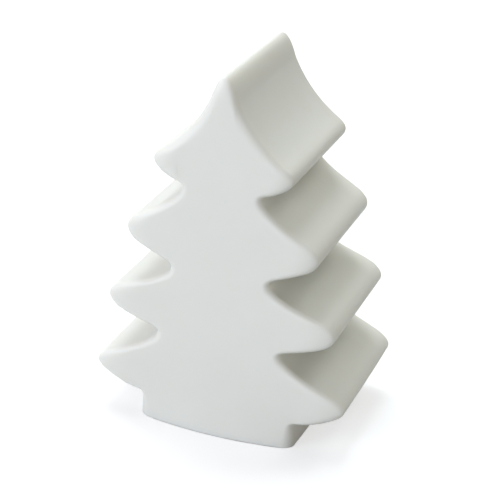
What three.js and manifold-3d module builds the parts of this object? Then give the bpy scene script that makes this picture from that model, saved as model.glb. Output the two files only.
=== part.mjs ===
// Lighted tree: a soft, hollow, translucent vinyl tree that stands on its trunk and glows
// from inside. A round light module is pushed into the open trunk and held there by a bead
// inside the shell. It holds three button cells, a slide switch and an upright 5 mm lamp.
// Millimetres, +Z up. The origin is the centre of the base, and the tree faces -Y.

import * as THREE from 'three';
import { mergeVertices } from 'three/addons/utils/BufferGeometryUtils.js';
import Module from 'manifold-3d';

const wasm = await Module();
wasm.setup();

// Clearances
const GAP = 0.3; // between a moving or flexible piece and its neighbour
const SEAT = 0.1; // between two rigid pieces that bear on each other

// Button cells
const CELL_COUNT = 3;
const CELL_DIAMETER = 11.6;
const CELL_HEIGHT = 5.4;
const CELL_CAP_DIAMETER = 9.4;
const CELL_CAP_HEIGHT = 0.5;
const CELL_EDGE = 0.35;
const CELL_SIDE_CLEARANCE = 0.2;

// Contacts at the two ends of the cells
const CONTACT_THICKNESS = 0.3;
const CONTACT_WIDTH = 8;
const CONTACT_FOOT = 1; // from the underside of the cells up to the contact's lower edge
const CONTACT_HEIGHT = 9;
const TAB_WIDTH = 2;
const SPRING_LENGTH = 2.6;
const SPRING_WIRE = 0.5;
const SPRING_TURNS = 3;
const SPRING_WIDE_RADIUS = 3.8;
const SPRING_NARROW_RADIUS = 1.7;

// Module housing
const BASE_RECESS = 0.5; // the module's underside stands this far above the table
const DOOR_THICKNESS = 1.2;
const LEDGE_THICKNESS = 0.9; // floor left above the door's recess
const HOUSING_WALL = 1.1;
const TROUGH_WALL = 1;
const TROUGH_OFFSET = -1.2; // the cells lie off centre, to leave room for the switch
const TROUGH_CHAMFER = 0.6;
const CEILING_THICKNESS = 0.8;
const CORNER_WALL = 0.7; // left at the trough's corners inside the groove
const BEAD_CATCH = 0.8; // how far the housing stands out past its groove
const FLANGE_STEP = 0.5; // how far the bottom flange stands out past the housing
const FLANGE_THICKNESS = 2.1;
const FLANGE_EDGE = 0.4;
const BEAD_HEIGHT = 2;
const BEAD_NOSE = 0.5;

// Battery door
const DOOR_MARGIN = 0.8; // the door laps the opening by this much
const DOOR_CORNER = 2;
const DOOR_EAR_RADIUS = 2.6;
const TONGUE_THICKNESS = 0.6;
const TONGUE_WIDTH = 3;
const TONGUE_HEIGHT = 2.6;
const TONGUE_SPACING = 12;

// Screws
const SCREW_RADIUS = 1;
const SCREW_CLEARANCE = 0.1;
const SCREW_HEAD_RADIUS = 1.8;
const SCREW_HEAD_HEIGHT = 1.1;
const SCREW_CROWN_RADIUS = 1.26; // flat on top of a cover screw's rounded head
const SCREW_DRIVE_DEPTH = 0.6;
const SCREW_DRIVE_REACH = 1.1;
const SCREW_DRIVE_WIDTH = 0.6;
const DOOR_SCREW_LENGTH = 6;
const COVER_SCREW_LENGTH = 5;
const BOSS_RADIUS = 2;
const BOSS_Y = 10.2; // distance of the screw bosses from the middle
const FAR_BOSS_DEPTH = 4;
const BOSS_FLOOR = 1; // left between the two pilot holes of the near boss
const WEB_THICKNESS = 1.2;

// Slide switch
const SWITCH_LENGTH = 8.6;
const SWITCH_DEPTH = 4;
const SWITCH_HEIGHT = 3.6;
const SWITCH_SHEET = 0.3;
const SWITCH_BASE_THICKNESS = 0.8;
const SWITCH_TRAVEL = 2;
const KNOB_LENGTH = 2;
const KNOB_DEPTH = 1.6;
const KNOB_RIDGE = 0.3;
const SLIDER_LENGTH = 3.4;
const SLIDER_DEPTH = 2.6;
const SLIDER_HEIGHT = 1.5;
const THUMB_POCKET_LENGTH = 8;
const THUMB_POCKET_DEPTH = 3.4;
const TERMINAL_COUNT = 3;
const TERMINAL_PITCH = 2.5;
const TERMINAL_WIDTH = 0.8;
const TERMINAL_THICKNESS = 0.4;
const TERMINAL_LENGTH = 1.8;

// Circuit board, lamp and wires
const BOARD_THICKNESS = 1;
const BOARD_EDGE_GAP = 0.3;
const LAMP_RADIUS = 2.5;
const LAMP_FLANGE_RADIUS = 2.9;
const LAMP_FLANGE_HEIGHT = 1;
const LAMP_HEIGHT = 8.6;
const LAMP_STANDOFF = 0.5;
const LEAD_PITCH = 2.54;
const LEAD_SIZE = 0.5;
const LEAD_HOLE_RADIUS = 0.6;
const LEAD_TAIL = 0.5; // lead left below the board
const RESISTOR_SIZE = new THREE.Vector3(3.2, 1.6, 0.6);
const RESISTOR_PLACE = new THREE.Vector2(-6, 3);
const WIRE_RADIUS = 0.5;
const WIRE_LANDING_X = 4.6;
const WIRE_SWING = 1; // below and above mid-height, where the wire crosses over

// Top cover of the module
const COVER_WALL = 1;
const COVER_RIM = 0.3;
const COVER_SHOULDER = 0.5;
const COVER_SLOPE_HEIGHT = 2.3;
const COVER_TAPER = 4.25; // how far the cover draws in towards its top
const LAMP_HOLE_GAP = 0.3;

// Tree shell
const WALL = 2;
const DEPTH_SPARE = 0.6; // the trunk is this much deeper than wide, on each side
const FRONT_BOW = 1.7; // the soft trunk bows out round the module at its open end
const SIDE_BOW = 0.5;
const BOW_DECAY = 6;
const FRONT_EDGE_INSET = 2.3; // rounding of the front and back edges, seen from the front
const FRONT_EDGE_DEPTH = 1.5; // and seen from the side
const TIP_ROUNDING = 3.8;
const NOTCH_ROUNDING = 2;
const APEX_ROUNDING = 9;
const KNEE_ROUNDING = 1.3;
const TIP_GROWTH = 0.3; // how much softer a tip gets in an outline that is moved in
const NOTCH_GROWTH = 1; // and an inner corner
const NOTCH_CRISPNESS = 0.4; // share of the front and back edges' rounding at inner corners

// The tiers, from the lowest up. REACH is how far a tier's tips stand out past the inner
// corner below them, and LIFT how far they rise above it. CUT is how far the flank above
// the tips goes in, and CLIMB how far it goes up. UNDER and FLANK shape the curved
// underside and flank: how far the two control points of each stand out, from its upper
// end down for a flank and from the tip in for an underside. Below zero is hollow, and
// core is the same for both points on the shell's inner face.
const TIER_OVERLAP = 10.35; // the module's rim stands this far above the lowest tier's foot
const TIER_1_REACH = 11.7;
const TIER_1_LIFT = 4.45;
const TIER_1_UNDER = { near: 0.6, far: 1.9, core: 1.3 };
const TIER_1_FLANK = { near: -2.4, far: 1.1, core: 0.1 };
const NOTCH_MARGIN = 2.68; // from the module's cover out to the inner corner above tier 1
const NOTCH_RISE = 0.9; // and from the top of the cover up to that corner
const TIER_2_REACH = 12.85;
const TIER_2_LIFT = 5.55;
const TIER_2_CUT = 15.55;
const TIER_2_CLIMB = 8.9;
const TIER_2_UNDER = { near: 2.2, far: 0.5, core: 0.9 };
const TIER_2_FLANK = { near: -2.7, far: 1.8, core: 0.1 };
const TIER_3_REACH = 11.55;
const TIER_3_LIFT = 6.5;
const TIER_3_CUT = 13.65;
const TIER_3_CLIMB = 10.75;
const TIER_3_UNDER = { near: 2, far: 0.1, core: 0.9 };
const TIER_3_FLANK = { near: -2.4, far: 0.5, core: -0.6 };
const TIER_4_REACH = 8.3;
const TIER_4_LIFT = 4.2;
const TIER_4_CLIMB = 21.9; // up to the sharp apex, before it is rounded
const TIER_4_UNDER = { near: 0.8, far: 1.4, core: 1.1 };
const TIER_4_FLANK = { near: -4, far: -4.5, core: -3.6 };
const STRAIGHT = { near: 0, far: 0, core: 0 };

// Facets. The shell is drawn with this many steps round a corner, along an edge, along a
// long edge, across a rounded rim, through the middle and over its flat faces.
const OUTER_STEPS = { corner: 4, edge: 4, long: 6, rim: 3, middle: 4, strips: 6 };
const CORE_STEPS = { corner: 3, edge: 2, long: 4, rim: 2, middle: 3, strips: 4 };
const ROUND_SEGMENTS = 40;
const SMALL_SEGMENTS = 16;
const CELL_SEGMENTS = 32;
const LAMP_SEGMENTS = 24;
const LAMP_DOME_STEPS = 6;
const ARC_STEPS = 6;
const BOARD_ARC_STEPS = 10;
const SPRING_STEPS = 8; // in each turn
const SPRING_SIDES = 5;
const WIRE_SIDES = 8;
const WIRE_STEPS = 14;
const WELD_DISTANCE = 1e-4;
const PAST = 1; // a cutting tool reaches this far past what it cuts

// Heights, from the table up
const flangeBottom = BASE_RECESS;
const doorTop = flangeBottom + DOOR_THICKNESS;
const recessTop = doorTop + GAP - SEAT;
const cellBottom = doorTop + GAP;
const cellAxisZ = cellBottom + CELL_DIAMETER / 2;
const cellTop = cellBottom + CELL_DIAMETER;
const floorTop = recessTop + LEDGE_THICKNESS + SEAT;
const grooveBottom = flangeBottom + FLANGE_THICKNESS;
const beadBottom = grooveBottom + GAP;
const beadTop = beadBottom + BEAD_HEIGHT;
const grooveTop = beadTop + GAP;
const ceilingBottom = cellTop + CELL_SIDE_CLEARANCE;
const ceilingTop = ceilingBottom + CEILING_THICKNESS;
const boardBottom = ceilingTop + SEAT;
const boardTop = boardBottom + BOARD_THICKNESS;
const housingTop = boardTop + SEAT;
const coverBottom = housingTop + SEAT;
const coverTop = coverBottom + COVER_RIM + COVER_SHOULDER + COVER_SLOPE_HEIGHT;
const lampBottom = boardTop + LAMP_STANDOFF;

// The cells' trough, along X
const stackLength = CELL_COUNT * CELL_HEIGHT + (CELL_COUNT - 1) * SEAT;
const endSeats = 6 * SEAT; // behind and in front of both contacts, and at the spring's ends
const troughHalfX = (stackLength + SPRING_LENGTH + 2 * CONTACT_THICKNESS + endSeats) / 2;
const troughHalfY = CELL_DIAMETER / 2 + CELL_SIDE_CLEARANCE;
const troughNearY = TROUGH_OFFSET - troughHalfY;
const troughFarY = TROUGH_OFFSET + troughHalfY;
const plateX = troughHalfX - SEAT - CONTACT_THICKNESS; // inner face of either contact
const stackEndX = plateX - SEAT;
const stackStartX = stackEndX - stackLength;

// Radii of the module, each from what lies inside it
const grooveRadius = Math.hypot(troughHalfX, -troughNearY - TROUGH_CHAMFER) + CORNER_WALL;
const beadRadius = grooveRadius + GAP;
const barrelRadius = grooveRadius + BEAD_CATCH;
const flangeRadius = barrelRadius + FLANGE_STEP;
const barrelBore = barrelRadius - HOUSING_WALL;
const grooveBore = grooveRadius - HOUSING_WALL;
const boardRadius = barrelBore - BOARD_EDGE_GAP;
const coverTopRadius = barrelRadius - COVER_TAPER;

// The switch, beyond the cells
const switchY = troughFarY + TROUGH_WALL + GAP + SWITCH_DEPTH / 2;
const switchBottom = floorTop + SEAT;
const switchTop = switchBottom + SWITCH_HEIGHT;

// The trunk grips the module
const trunkTopHalf = barrelRadius + GAP + WALL;
const trunkBaseHalf = flangeRadius + 2 * GAP + WALL - SIDE_BOW;
const halfDepth = barrelRadius + DEPTH_SPARE + WALL;
const coreHalfDepth = halfDepth - WALL;

// Solids

function weld(geometry) {
  const bare = geometry.index ? geometry.toNonIndexed() : geometry.clone();
  bare.deleteAttribute('normal');
  bare.deleteAttribute('uv');
  const welded = mergeVertices(bare, WELD_DISTANCE);
  const points = welded.attributes.position;
  const kept = [];
  let volume = 0;
  const [a, b, c] = [new THREE.Vector3(), new THREE.Vector3(), new THREE.Vector3()];
  for (let i = 0; i < welded.index.count; i += 3) {
    const [p, q, r] = [0, 1, 2].map((k) => welded.index.getX(i + k));
    if (p === q || q === r || r === p) continue;
    kept.push(p, q, r);
    a.fromBufferAttribute(points, p);
    b.fromBufferAttribute(points, q);
    c.fromBufferAttribute(points, r);
    volume += a.dot(b.cross(c));
  }
  if (volume < 0) {
    for (let i = 0; i < kept.length; i += 3) [kept[i], kept[i + 1]] = [kept[i + 1], kept[i]];
  }
  welded.setIndex(kept);
  return welded;
}

function toSolid(geometry) {
  const closed = weld(geometry);
  const vertProperties = Float32Array.from(closed.attributes.position.array);
  const triVerts = Uint32Array.from(closed.index.array);
  return new wasm.Manifold(new wasm.Mesh({ numProp: 3, vertProperties, triVerts }));
}

function toGeometry(solid) {
  const mesh = solid.getMesh();
  const geometry = new THREE.BufferGeometry();
  geometry.setAttribute('position', new THREE.BufferAttribute(mesh.vertProperties, 3));
  geometry.setIndex(new THREE.BufferAttribute(mesh.triVerts, 1));
  return geometry;
}

function join(first, ...others) {
  return others.reduce((sum, other) => sum.add(toSolid(other)), toSolid(first));
}

function cut(solid, ...tools) {
  return tools.reduce((rest, tool) => rest.subtract(toSolid(tool)), solid);
}

// A box that spans from one corner to the other.
function block(x0, x1, y0, y1, z0, z1) {
  const box = new THREE.BoxGeometry(x1 - x0, y1 - y0, z1 - z0);
  return box.translate((x0 + x1) / 2, (y0 + y1) / 2, (z0 + z1) / 2);
}

// A solid of revolution about Z. The profile is a list of [radius, height].
function turned(profile, segments = ROUND_SEGMENTS, x = 0, y = 0) {
  const points = profile.map(([radius, height]) => new THREE.Vector2(radius, height));
  return new THREE.LatheGeometry(points, segments).rotateX(Math.PI / 2).translate(x, y, 0);
}

function rod(radius, z0, z1, x, y, segments = SMALL_SEGMENTS) {
  return turned([[0, z0], [radius, z0], [radius, z1], [0, z1]], segments, x, y);
}

// A flat plate with the given outline, lying in XY.
function plate(shape, z0, z1, segments = ARC_STEPS) {
  const options = { depth: z1 - z0, bevelEnabled: false, curveSegments: segments };
  return new THREE.ExtrudeGeometry(shape, options).translate(0, 0, z0);
}

function tube(points, radius, sides, steps) {
  const section = new THREE.Shape();
  for (let i = 0; i < sides; i += 1) {
    const turn = (2 * Math.PI * i) / sides;
    const place = [radius * Math.cos(turn), radius * Math.sin(turn)];
    if (i === 0) section.moveTo(...place);
    else section.lineTo(...place);
  }
  const path = new THREE.CatmullRomCurve3(points.map((point) => new THREE.Vector3(...point)));
  const options = { steps, bevelEnabled: false, extrudePath: path };
  return new THREE.ExtrudeGeometry(section, options);
}

function roundedRectangle(x0, x1, y0, y1, radius) {
  const shape = new THREE.Shape();
  shape.moveTo(x0 + radius, y0);
  shape.lineTo(x1 - radius, y0);
  shape.absarc(x1 - radius, y0 + radius, radius, -Math.PI / 2, 0);
  shape.lineTo(x1, y1 - radius);
  shape.absarc(x1 - radius, y1 - radius, radius, 0, Math.PI / 2);
  shape.lineTo(x0 + radius, y1);
  shape.absarc(x0 + radius, y1 - radius, radius, Math.PI / 2, Math.PI);
  shape.lineTo(x0, y0 + radius);
  shape.absarc(x0 + radius, y0 + radius, radius, Math.PI, 1.5 * Math.PI);
  return shape;
}

// Tree shell

// The sharp corners of the right half, from the apex down to the table, with the rounding
// of each and the shape of the edge below it.
function halfChain() {
  const above = (corner, x, z) => new THREE.Vector2(corner.x + x, corner.y + z);
  const knee = new THREE.Vector2(trunkTopHalf, housingTop - TIER_OVERLAP);
  const tip1 = above(knee, TIER_1_REACH, TIER_1_LIFT);
  const notch1 = new THREE.Vector2(coverTopRadius + NOTCH_MARGIN, coverTop + NOTCH_RISE);
  const tip2 = above(notch1, TIER_2_REACH, TIER_2_LIFT);
  const notch2 = above(tip2, -TIER_2_CUT, TIER_2_CLIMB);
  const tip3 = above(notch2, TIER_3_REACH, TIER_3_LIFT);
  const notch3 = above(tip3, -TIER_3_CUT, TIER_3_CLIMB);
  const tip4 = above(notch3, TIER_4_REACH, TIER_4_LIFT);
  const apex = new THREE.Vector2(0, tip4.y + TIER_4_CLIMB);
  return [
    { corner: apex, rounding: APEX_ROUNDING, ...TIER_4_FLANK },
    { corner: tip4, rounding: TIP_ROUNDING, ...TIER_4_UNDER },
    { corner: notch3, rounding: NOTCH_ROUNDING, ...TIER_3_FLANK },
    { corner: tip3, rounding: TIP_ROUNDING, ...TIER_3_UNDER },
    { corner: notch2, rounding: NOTCH_ROUNDING, ...TIER_2_FLANK },
    { corner: tip2, rounding: TIP_ROUNDING, ...TIER_2_UNDER },
    { corner: notch1, rounding: NOTCH_ROUNDING, ...TIER_1_FLANK },
    { corner: tip1, rounding: TIP_ROUNDING, ...TIER_1_UNDER },
    { corner: knee, rounding: KNEE_ROUNDING, ...STRAIGHT },
    { corner: new THREE.Vector2(trunkBaseHalf, 0), rounding: 0, ...STRAIGHT },
  ];
}

// The corner, moved in square to both of its edges, and how much more its rounding takes.
function insetCorner(before, corner, after, { inset, edge }) {
  const back = before.clone().sub(corner).normalize();
  const ahead = after.clone().sub(corner).normalize();
  const outBack = new THREE.Vector2(back.y, -back.x);
  const outAhead = new THREE.Vector2(-ahead.y, ahead.x);
  const mitre = outBack.clone().add(outAhead);
  mitre.divideScalar(mitre.dot(outBack));
  const half = Math.acos(THREE.MathUtils.clamp(back.dot(ahead), -1, 1)) / 2;
  const concave = back.x * ahead.y - back.y * ahead.x < 0;
  const shift = inset + edge * (concave ? NOTCH_CRISPNESS : 1);
  return {
    place: corner.clone().addScaledVector(mitre, -shift),
    growth: (shift / Math.tan(half)) * (concave ? NOTCH_GROWTH : TIP_GROWTH),
  };
}

// The tree's outline from its bottom left over the apex to its bottom right, moved in by
// the level's inset and, less at inner corners, by its edge. The number of points doesn't
// depend on them, so outlines can be lofted.
function treeOutline(level, floorZ, steps, inner) {
  const chain = halfChain();
  const corners = chain.map(({ corner }) => corner);
  const mirrored = new THREE.Vector2(-corners[1].x, corners[1].y);
  const last = corners.length - 1;
  const moved = corners.map((corner, i) => {
    const { inset, edge } = level;
    if (i === last) return { place: new THREE.Vector2(corner.x - inset - edge, floorZ) };
    return insetCorner(i === 0 ? mirrored : corners[i - 1], corner, corners[i + 1], level);
  });
  moved[0].place.x = 0;
  const trims = moved.slice(0, last).map(({ growth }, i) => chain[i].rounding + growth);
  const edges = moved.slice(0, last).map(({ place }, i) => {
    const end = moved[i + 1].place;
    const along = end.clone().sub(place);
    const out = new THREE.Vector2(-along.y, along.x).normalize();
    const { near, far, core } = chain[i];
    const leaving = place.clone().lerp(end, 1 / 3).addScaledVector(out, inner ? core : near);
    const arriving = place.clone().lerp(end, 2 / 3).addScaledVector(out, inner ? core : far);
    return new THREE.CubicBezierCurve(place, leaving, arriving, end);
  });
  const right = [];
  const start = edges[0].getPointAt(trims[0] / edges[0].getLength());
  const apex = new THREE.QuadraticBezierCurve(
    new THREE.Vector2(-start.x, start.y), moved[0].place, start,
  );
  right.push(...apex.getPoints(2 * steps.corner).slice(steps.corner));
  edges.forEach((edge, i) => {
    const length = edge.getLength();
    const from = trims[i] / length;
    const to = i + 1 < last ? 1 - trims[i + 1] / length : 1;
    const count = i === 0 ? steps.long : steps.edge;
    for (let k = 1; k <= count; k += 1) {
      right.push(edge.getPointAt(THREE.MathUtils.lerp(from, to, k / count)));
    }
    if (i + 1 === last) return;
    const onward = edges[i + 1].getPointAt(trims[i + 1] / edges[i + 1].getLength());
    const round = new THREE.QuadraticBezierCurve(right.at(-1), moved[i + 1].place, onward);
    right.push(...round.getPoints(steps.corner).slice(1));
  });
  right[0].x = 0;
  const left = right.slice(1).reverse().map((point) => new THREE.Vector2(-point.x, point.y));
  return [...left, ...right];
}

// The soft trunk bows out round the module at its open end.
function bow(x, y, z) {
  const fade = Math.exp(-Math.max(z, 0) / BOW_DECAY);
  const across = Math.max(1 - (x / trunkBaseHalf) ** 2, 0);
  const along = Math.max(1 - (y / halfDepth) ** 2, 0);
  const wide = x * (1 + (SIDE_BOW / trunkBaseHalf) * along * fade);
  const deep = y * (1 + (FRONT_BOW / halfDepth) * across * fade);
  return new THREE.Vector3(wide, deep, z);
}

// A closed body between the outlines at the given depths. Front, back and underside are
// grids of strips between the outline's left and right points.
function treeLoft(levels, floorZ, steps, inner) {
  const outlines = levels.map((level) => treeOutline(level, floorZ, steps, inner));
  const { strips } = steps;
  const columns = outlines[0].length;
  const points = [];
  const at = (row, column, share = 0) => {
    const from = outlines[row][column];
    const to = outlines[row][columns - 1 - column];
    const x = share === 0 ? from.x : THREE.MathUtils.lerp(from.x, to.x, share);
    return bow(x, levels[row].y, from.y);
  };
  const quad = (a, b, c, d) => points.push(a, b, c, a, c, d);
  for (let row = 0; row + 1 < levels.length; row += 1) {
    for (let column = 0; column + 1 < columns; column += 1) {
      quad(at(row, column), at(row, column + 1), at(row + 1, column + 1), at(row + 1, column));
    }
    for (let s = 0; s < strips; s += 1) {
      const [u, v] = [s / strips, (s + 1) / strips];
      quad(at(row, 0, v), at(row, 0, u), at(row + 1, 0, u), at(row + 1, 0, v));
    }
  }
  const half = (columns - 1) / 2;
  for (const [row, front] of [[0, true], [levels.length - 1, false]]) {
    for (let column = 0; column < half; column += 1) {
      for (let s = 0; s < strips; s += 1) {
        const [u, v] = [s / strips, (s + 1) / strips];
        const ring = [at(row, column, u), at(row, column, v)];
        ring.push(at(row, column + 1, v), at(row, column + 1, u));
        quad(...(front ? ring : ring.reverse()));
      }
    }
  }
  return new THREE.BufferGeometry().setFromPoints(points);
}

// The depths of the outlines from front to back, and how far each is moved in: all of it by
// inset, and by edge once more, so that the front and back edges are rounded.
function rimLevels(depth, inset, rimInset, rimDepth, steps) {
  const levels = [];
  for (let i = 0; i <= steps.rim; i += 1) {
    const turn = (Math.PI / 2) * (1 - i / steps.rim);
    const y = -(depth - rimDepth + rimDepth * Math.sin(turn));
    levels.push({ y, inset, edge: rimInset * (1 - Math.cos(turn)) });
  }
  const straight = depth - rimDepth;
  const middle = [];
  for (let i = 1; i < steps.middle; i += 1) {
    middle.push({ y: -straight + (2 * straight * i) / steps.middle, inset, edge: 0 });
  }
  const back = levels.map(({ y, edge }) => ({ y: -y, inset, edge })).reverse();
  return [...levels, ...middle, ...back];
}

function treeShell() {
  const [rimInset, rimDepth] = [FRONT_EDGE_INSET, FRONT_EDGE_DEPTH];
  const outerLevels = rimLevels(halfDepth, 0, rimInset, rimDepth, OUTER_STEPS);
  const outer = treeLoft(outerLevels, 0, OUTER_STEPS, false);
  const coreLevels = rimLevels(coreHalfDepth, WALL, rimInset / 2, rimDepth / 2, CORE_STEPS);
  const core = treeLoft(coreLevels, -WALL, CORE_STEPS, true);
  const reach = 2 * trunkBaseHalf;
  const bead = turned([
    [reach, beadBottom],
    [beadRadius + BEAD_NOSE, beadBottom],
    [beadRadius, beadBottom + BEAD_NOSE],
    [beadRadius, beadTop - BEAD_NOSE],
    [beadRadius + BEAD_NOSE, beadTop],
    [reach, beadTop],
    [reach, beadBottom],
  ]);
  return toGeometry(toSolid(outer).subtract(cut(toSolid(core), bead)));
}

// Housing of the light module

function troughOutline(grow) {
  const [x, near, far] = [troughHalfX + grow, troughNearY - grow, troughFarY + grow];
  const slant = TROUGH_CHAMFER;
  const shape = new THREE.Shape();
  shape.moveTo(-x + slant, near);
  shape.lineTo(x - slant, near);
  shape.lineTo(x, near + slant);
  shape.lineTo(x, far);
  shape.lineTo(-x, far);
  shape.lineTo(-x, near + slant);
  return shape;
}

function doorOutline(grow) {
  const margin = DOOR_MARGIN + grow;
  return roundedRectangle(
    -troughHalfX - margin, troughHalfX + margin, troughNearY - margin, troughFarY + margin,
    DOOR_CORNER + grow,
  );
}

function doorPlate(grow, z0, z1) {
  const ear = DOOR_EAR_RADIUS + grow;
  const neck = block(-ear, ear, -BOSS_Y, troughNearY, z0, z1);
  return join(plate(doorOutline(grow), z0, z1), rod(ear, z0, z1, 0, -BOSS_Y), neck);
}

function baseHousing() {
  const outside = turned([
    [0, flangeBottom],
    [flangeRadius - FLANGE_EDGE, flangeBottom],
    [flangeRadius, flangeBottom + FLANGE_EDGE],
    [flangeRadius, grooveBottom],
    [grooveRadius, grooveBottom],
    [grooveRadius, grooveTop],
    [barrelRadius, grooveTop],
    [barrelRadius, housingTop],
    [0, housingTop],
  ]);
  const inside = turned([
    [0, floorTop],
    [grooveBore, floorTop],
    [grooveBore, grooveTop],
    [barrelBore, grooveTop + HOUSING_WALL],
    [barrelBore, housingTop + PAST],
    [0, housingTop + PAST],
  ]);
  const walls = plate(troughOutline(TROUGH_WALL), flangeBottom + DOOR_THICKNESS, ceilingTop, 1);
  const nearBoss = rod(BOSS_RADIUS, floorTop - LEDGE_THICKNESS, ceilingTop, 0, -BOSS_Y);
  const farBoss = rod(BOSS_RADIUS, ceilingTop - FAR_BOSS_DEPTH, ceilingTop, 0, BOSS_Y);
  const halfWeb = WEB_THICKNESS / 2;
  const farWeb = block(-halfWeb, halfWeb, troughFarY, barrelBore + HOUSING_WALL / 2,
    ceilingTop - FAR_BOSS_DEPTH, ceilingTop);
  const nearWeb = block(-halfWeb, halfWeb, -barrelBore - HOUSING_WALL / 2, troughNearY,
    floorTop - LEDGE_THICKNESS, ceilingTop);
  const built = cut(toSolid(outside), inside)
    .add(toSolid(walls))
    .add(toSolid(nearBoss))
    .add(toSolid(nearWeb))
    .add(toSolid(farBoss))
    .add(toSolid(farWeb));
  const kept = built.intersect(toSolid(outside));
  const pilot = SCREW_RADIUS + SCREW_CLEARANCE;
  const recess = doorPlate(GAP - SEAT, -PAST, recessTop);
  const farPilotFoot = ceilingTop - FAR_BOSS_DEPTH;
  const slotHalf = (KNOB_LENGTH + SWITCH_TRAVEL) / 2 + GAP;
  const slotDepth = KNOB_DEPTH / 2 + GAP;
  const pocketX = THUMB_POCKET_LENGTH / 2;
  const pocketY = THUMB_POCKET_DEPTH / 2;
  const leadHalf = LEAD_PITCH / 2 + LEAD_HOLE_RADIUS;
  const tabHalf = TAB_WIDTH / 2 + GAP;
  const tools = [
    plate(troughOutline(0), recessTop - PAST, ceilingBottom, 1),
    rod(pilot, -PAST, cellAxisZ, 0, -BOSS_Y),
    rod(pilot, farPilotFoot + BOSS_FLOOR, housingTop, 0, -BOSS_Y),
    rod(pilot, farPilotFoot - PAST, housingTop, 0, BOSS_Y),
    block(-slotHalf, slotHalf, switchY - slotDepth, switchY + slotDepth, 0, floorTop + PAST),
    block(-pocketX, pocketX, switchY - pocketY, switchY + pocketY, 0, doorTop),
    block(-leadHalf, leadHalf, -LEAD_HOLE_RADIUS, LEAD_HOLE_RADIUS, cellTop, housingTop),
  ];
  for (const side of [-1, 1]) {
    const [inner, outer] = [plateX - GAP, troughHalfX].map((x) => side * x);
    tools.push(block(Math.min(inner, outer), Math.max(inner, outer),
      TROUGH_OFFSET - tabHalf, TROUGH_OFFSET + tabHalf, cellTop, housingTop));
  }
  return toGeometry(cut(kept.subtract(recess), ...tools));
}

function batteryDoor() {
  let door = doorPlate(0, flangeBottom, doorTop);
  for (const x of [-TONGUE_SPACING / 2, TONGUE_SPACING / 2]) {
    for (const side of [-1, 1]) {
      const outerFace = TROUGH_OFFSET + side * (troughHalfY - CELL_SIDE_CLEARANCE);
      const innerFace = outerFace - side * TONGUE_THICKNESS;
      const tongue = block(x - TONGUE_WIDTH / 2, x + TONGUE_WIDTH / 2,
        Math.min(innerFace, outerFace), Math.max(innerFace, outerFace),
        doorTop - TONGUE_THICKNESS, doorTop + TONGUE_HEIGHT);
      door = door.add(toSolid(tongue));
    }
  }
  const hole = SCREW_RADIUS + SCREW_CLEARANCE;
  const head = SCREW_HEAD_RADIUS + SCREW_CLEARANCE;
  const countersink = turned([
    [0, flangeBottom - PAST],
    [head + PAST, flangeBottom - PAST],
    [head, flangeBottom],
    [hole, flangeBottom + SCREW_HEAD_HEIGHT],
    [hole, doorTop + PAST],
    [0, doorTop + PAST],
  ], SMALL_SEGMENTS, 0, -BOSS_Y);
  return toGeometry(cut(door, countersink));
}

// Screws, each with a cross recess in its head

function crossRecess(z0, z1, x, y) {
  const [long, short] = [SCREW_DRIVE_REACH, SCREW_DRIVE_WIDTH / 2];
  return [
    block(x - long, x + long, y - short, y + short, z0, z1),
    block(x - short, x + short, y - long, y + long, z0, z1),
  ];
}

function doorScrew() {
  const tip = flangeBottom + DOOR_SCREW_LENGTH;
  const shaft = turned([
    [0, flangeBottom],
    [SCREW_HEAD_RADIUS, flangeBottom],
    [SCREW_RADIUS, flangeBottom + SCREW_HEAD_HEIGHT - SCREW_CLEARANCE],
    [SCREW_RADIUS, tip - SCREW_RADIUS],
    [0, tip],
  ], SMALL_SEGMENTS, 0, -BOSS_Y);
  const drive = crossRecess(0, flangeBottom + SCREW_DRIVE_DEPTH, 0, -BOSS_Y);
  return toGeometry(cut(toSolid(shaft), ...drive));
}

const screwSeat = housingTop + COVER_WALL;

function coverScrew(y) {
  const headBottom = screwSeat + SEAT;
  const headTop = headBottom + SCREW_HEAD_HEIGHT;
  const tip = headBottom - COVER_SCREW_LENGTH;
  const shaft = turned([
    [0, tip],
    [SCREW_RADIUS, tip + SCREW_RADIUS],
    [SCREW_RADIUS, headBottom],
    [SCREW_HEAD_RADIUS, headBottom],
    [SCREW_HEAD_RADIUS, headTop - SCREW_HEAD_HEIGHT / 2],
    [SCREW_CROWN_RADIUS, headTop],
    [0, headTop],
  ], SMALL_SEGMENTS, 0, y);
  const drive = crossRecess(headTop - SCREW_DRIVE_DEPTH, headTop + PAST, 0, y);
  return toGeometry(cut(toSolid(shaft), ...drive));
}

// Top cover, with a lamp hole, and a pillar at each screw that clamps the board

function coverProfile(inset) {
  const shoulderTop = coverBottom + COVER_RIM + COVER_SHOULDER - inset;
  return [
    [0, coverBottom - inset],
    [barrelRadius - inset, coverBottom - inset],
    [barrelRadius - inset, coverBottom + COVER_RIM - inset],
    [barrelRadius - COVER_SHOULDER - inset, shoulderTop],
    [coverTopRadius - inset / 2, coverTop - inset],
    [0, coverTop - inset],
  ];
}

function topCover() {
  const outside = toSolid(turned(coverProfile(0)));
  let cover = cut(outside, turned(coverProfile(COVER_WALL)));
  const pillarBottom = boardTop + SEAT;
  for (const y of [-BOSS_Y, BOSS_Y]) {
    const pillar = toSolid(rod(BOSS_RADIUS, pillarBottom, coverTop, 0, y));
    const fitted = pillar.intersect(outside);
    cover = cover.add(fitted);
    cover = cut(
      cover,
      rod(SCREW_HEAD_RADIUS + GAP, screwSeat, coverTop + PAST, 0, y),
      rod(SCREW_RADIUS + SCREW_CLEARANCE, pillarBottom - PAST, coverTop, 0, y),
    );
  }
  const lampHole = LAMP_FLANGE_RADIUS + LAMP_HOLE_GAP;
  return toGeometry(cut(cover, rod(lampHole, boardTop, coverTop + PAST, 0, 0, ROUND_SEGMENTS)));
}

// Circuit board and what it carries

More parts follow.
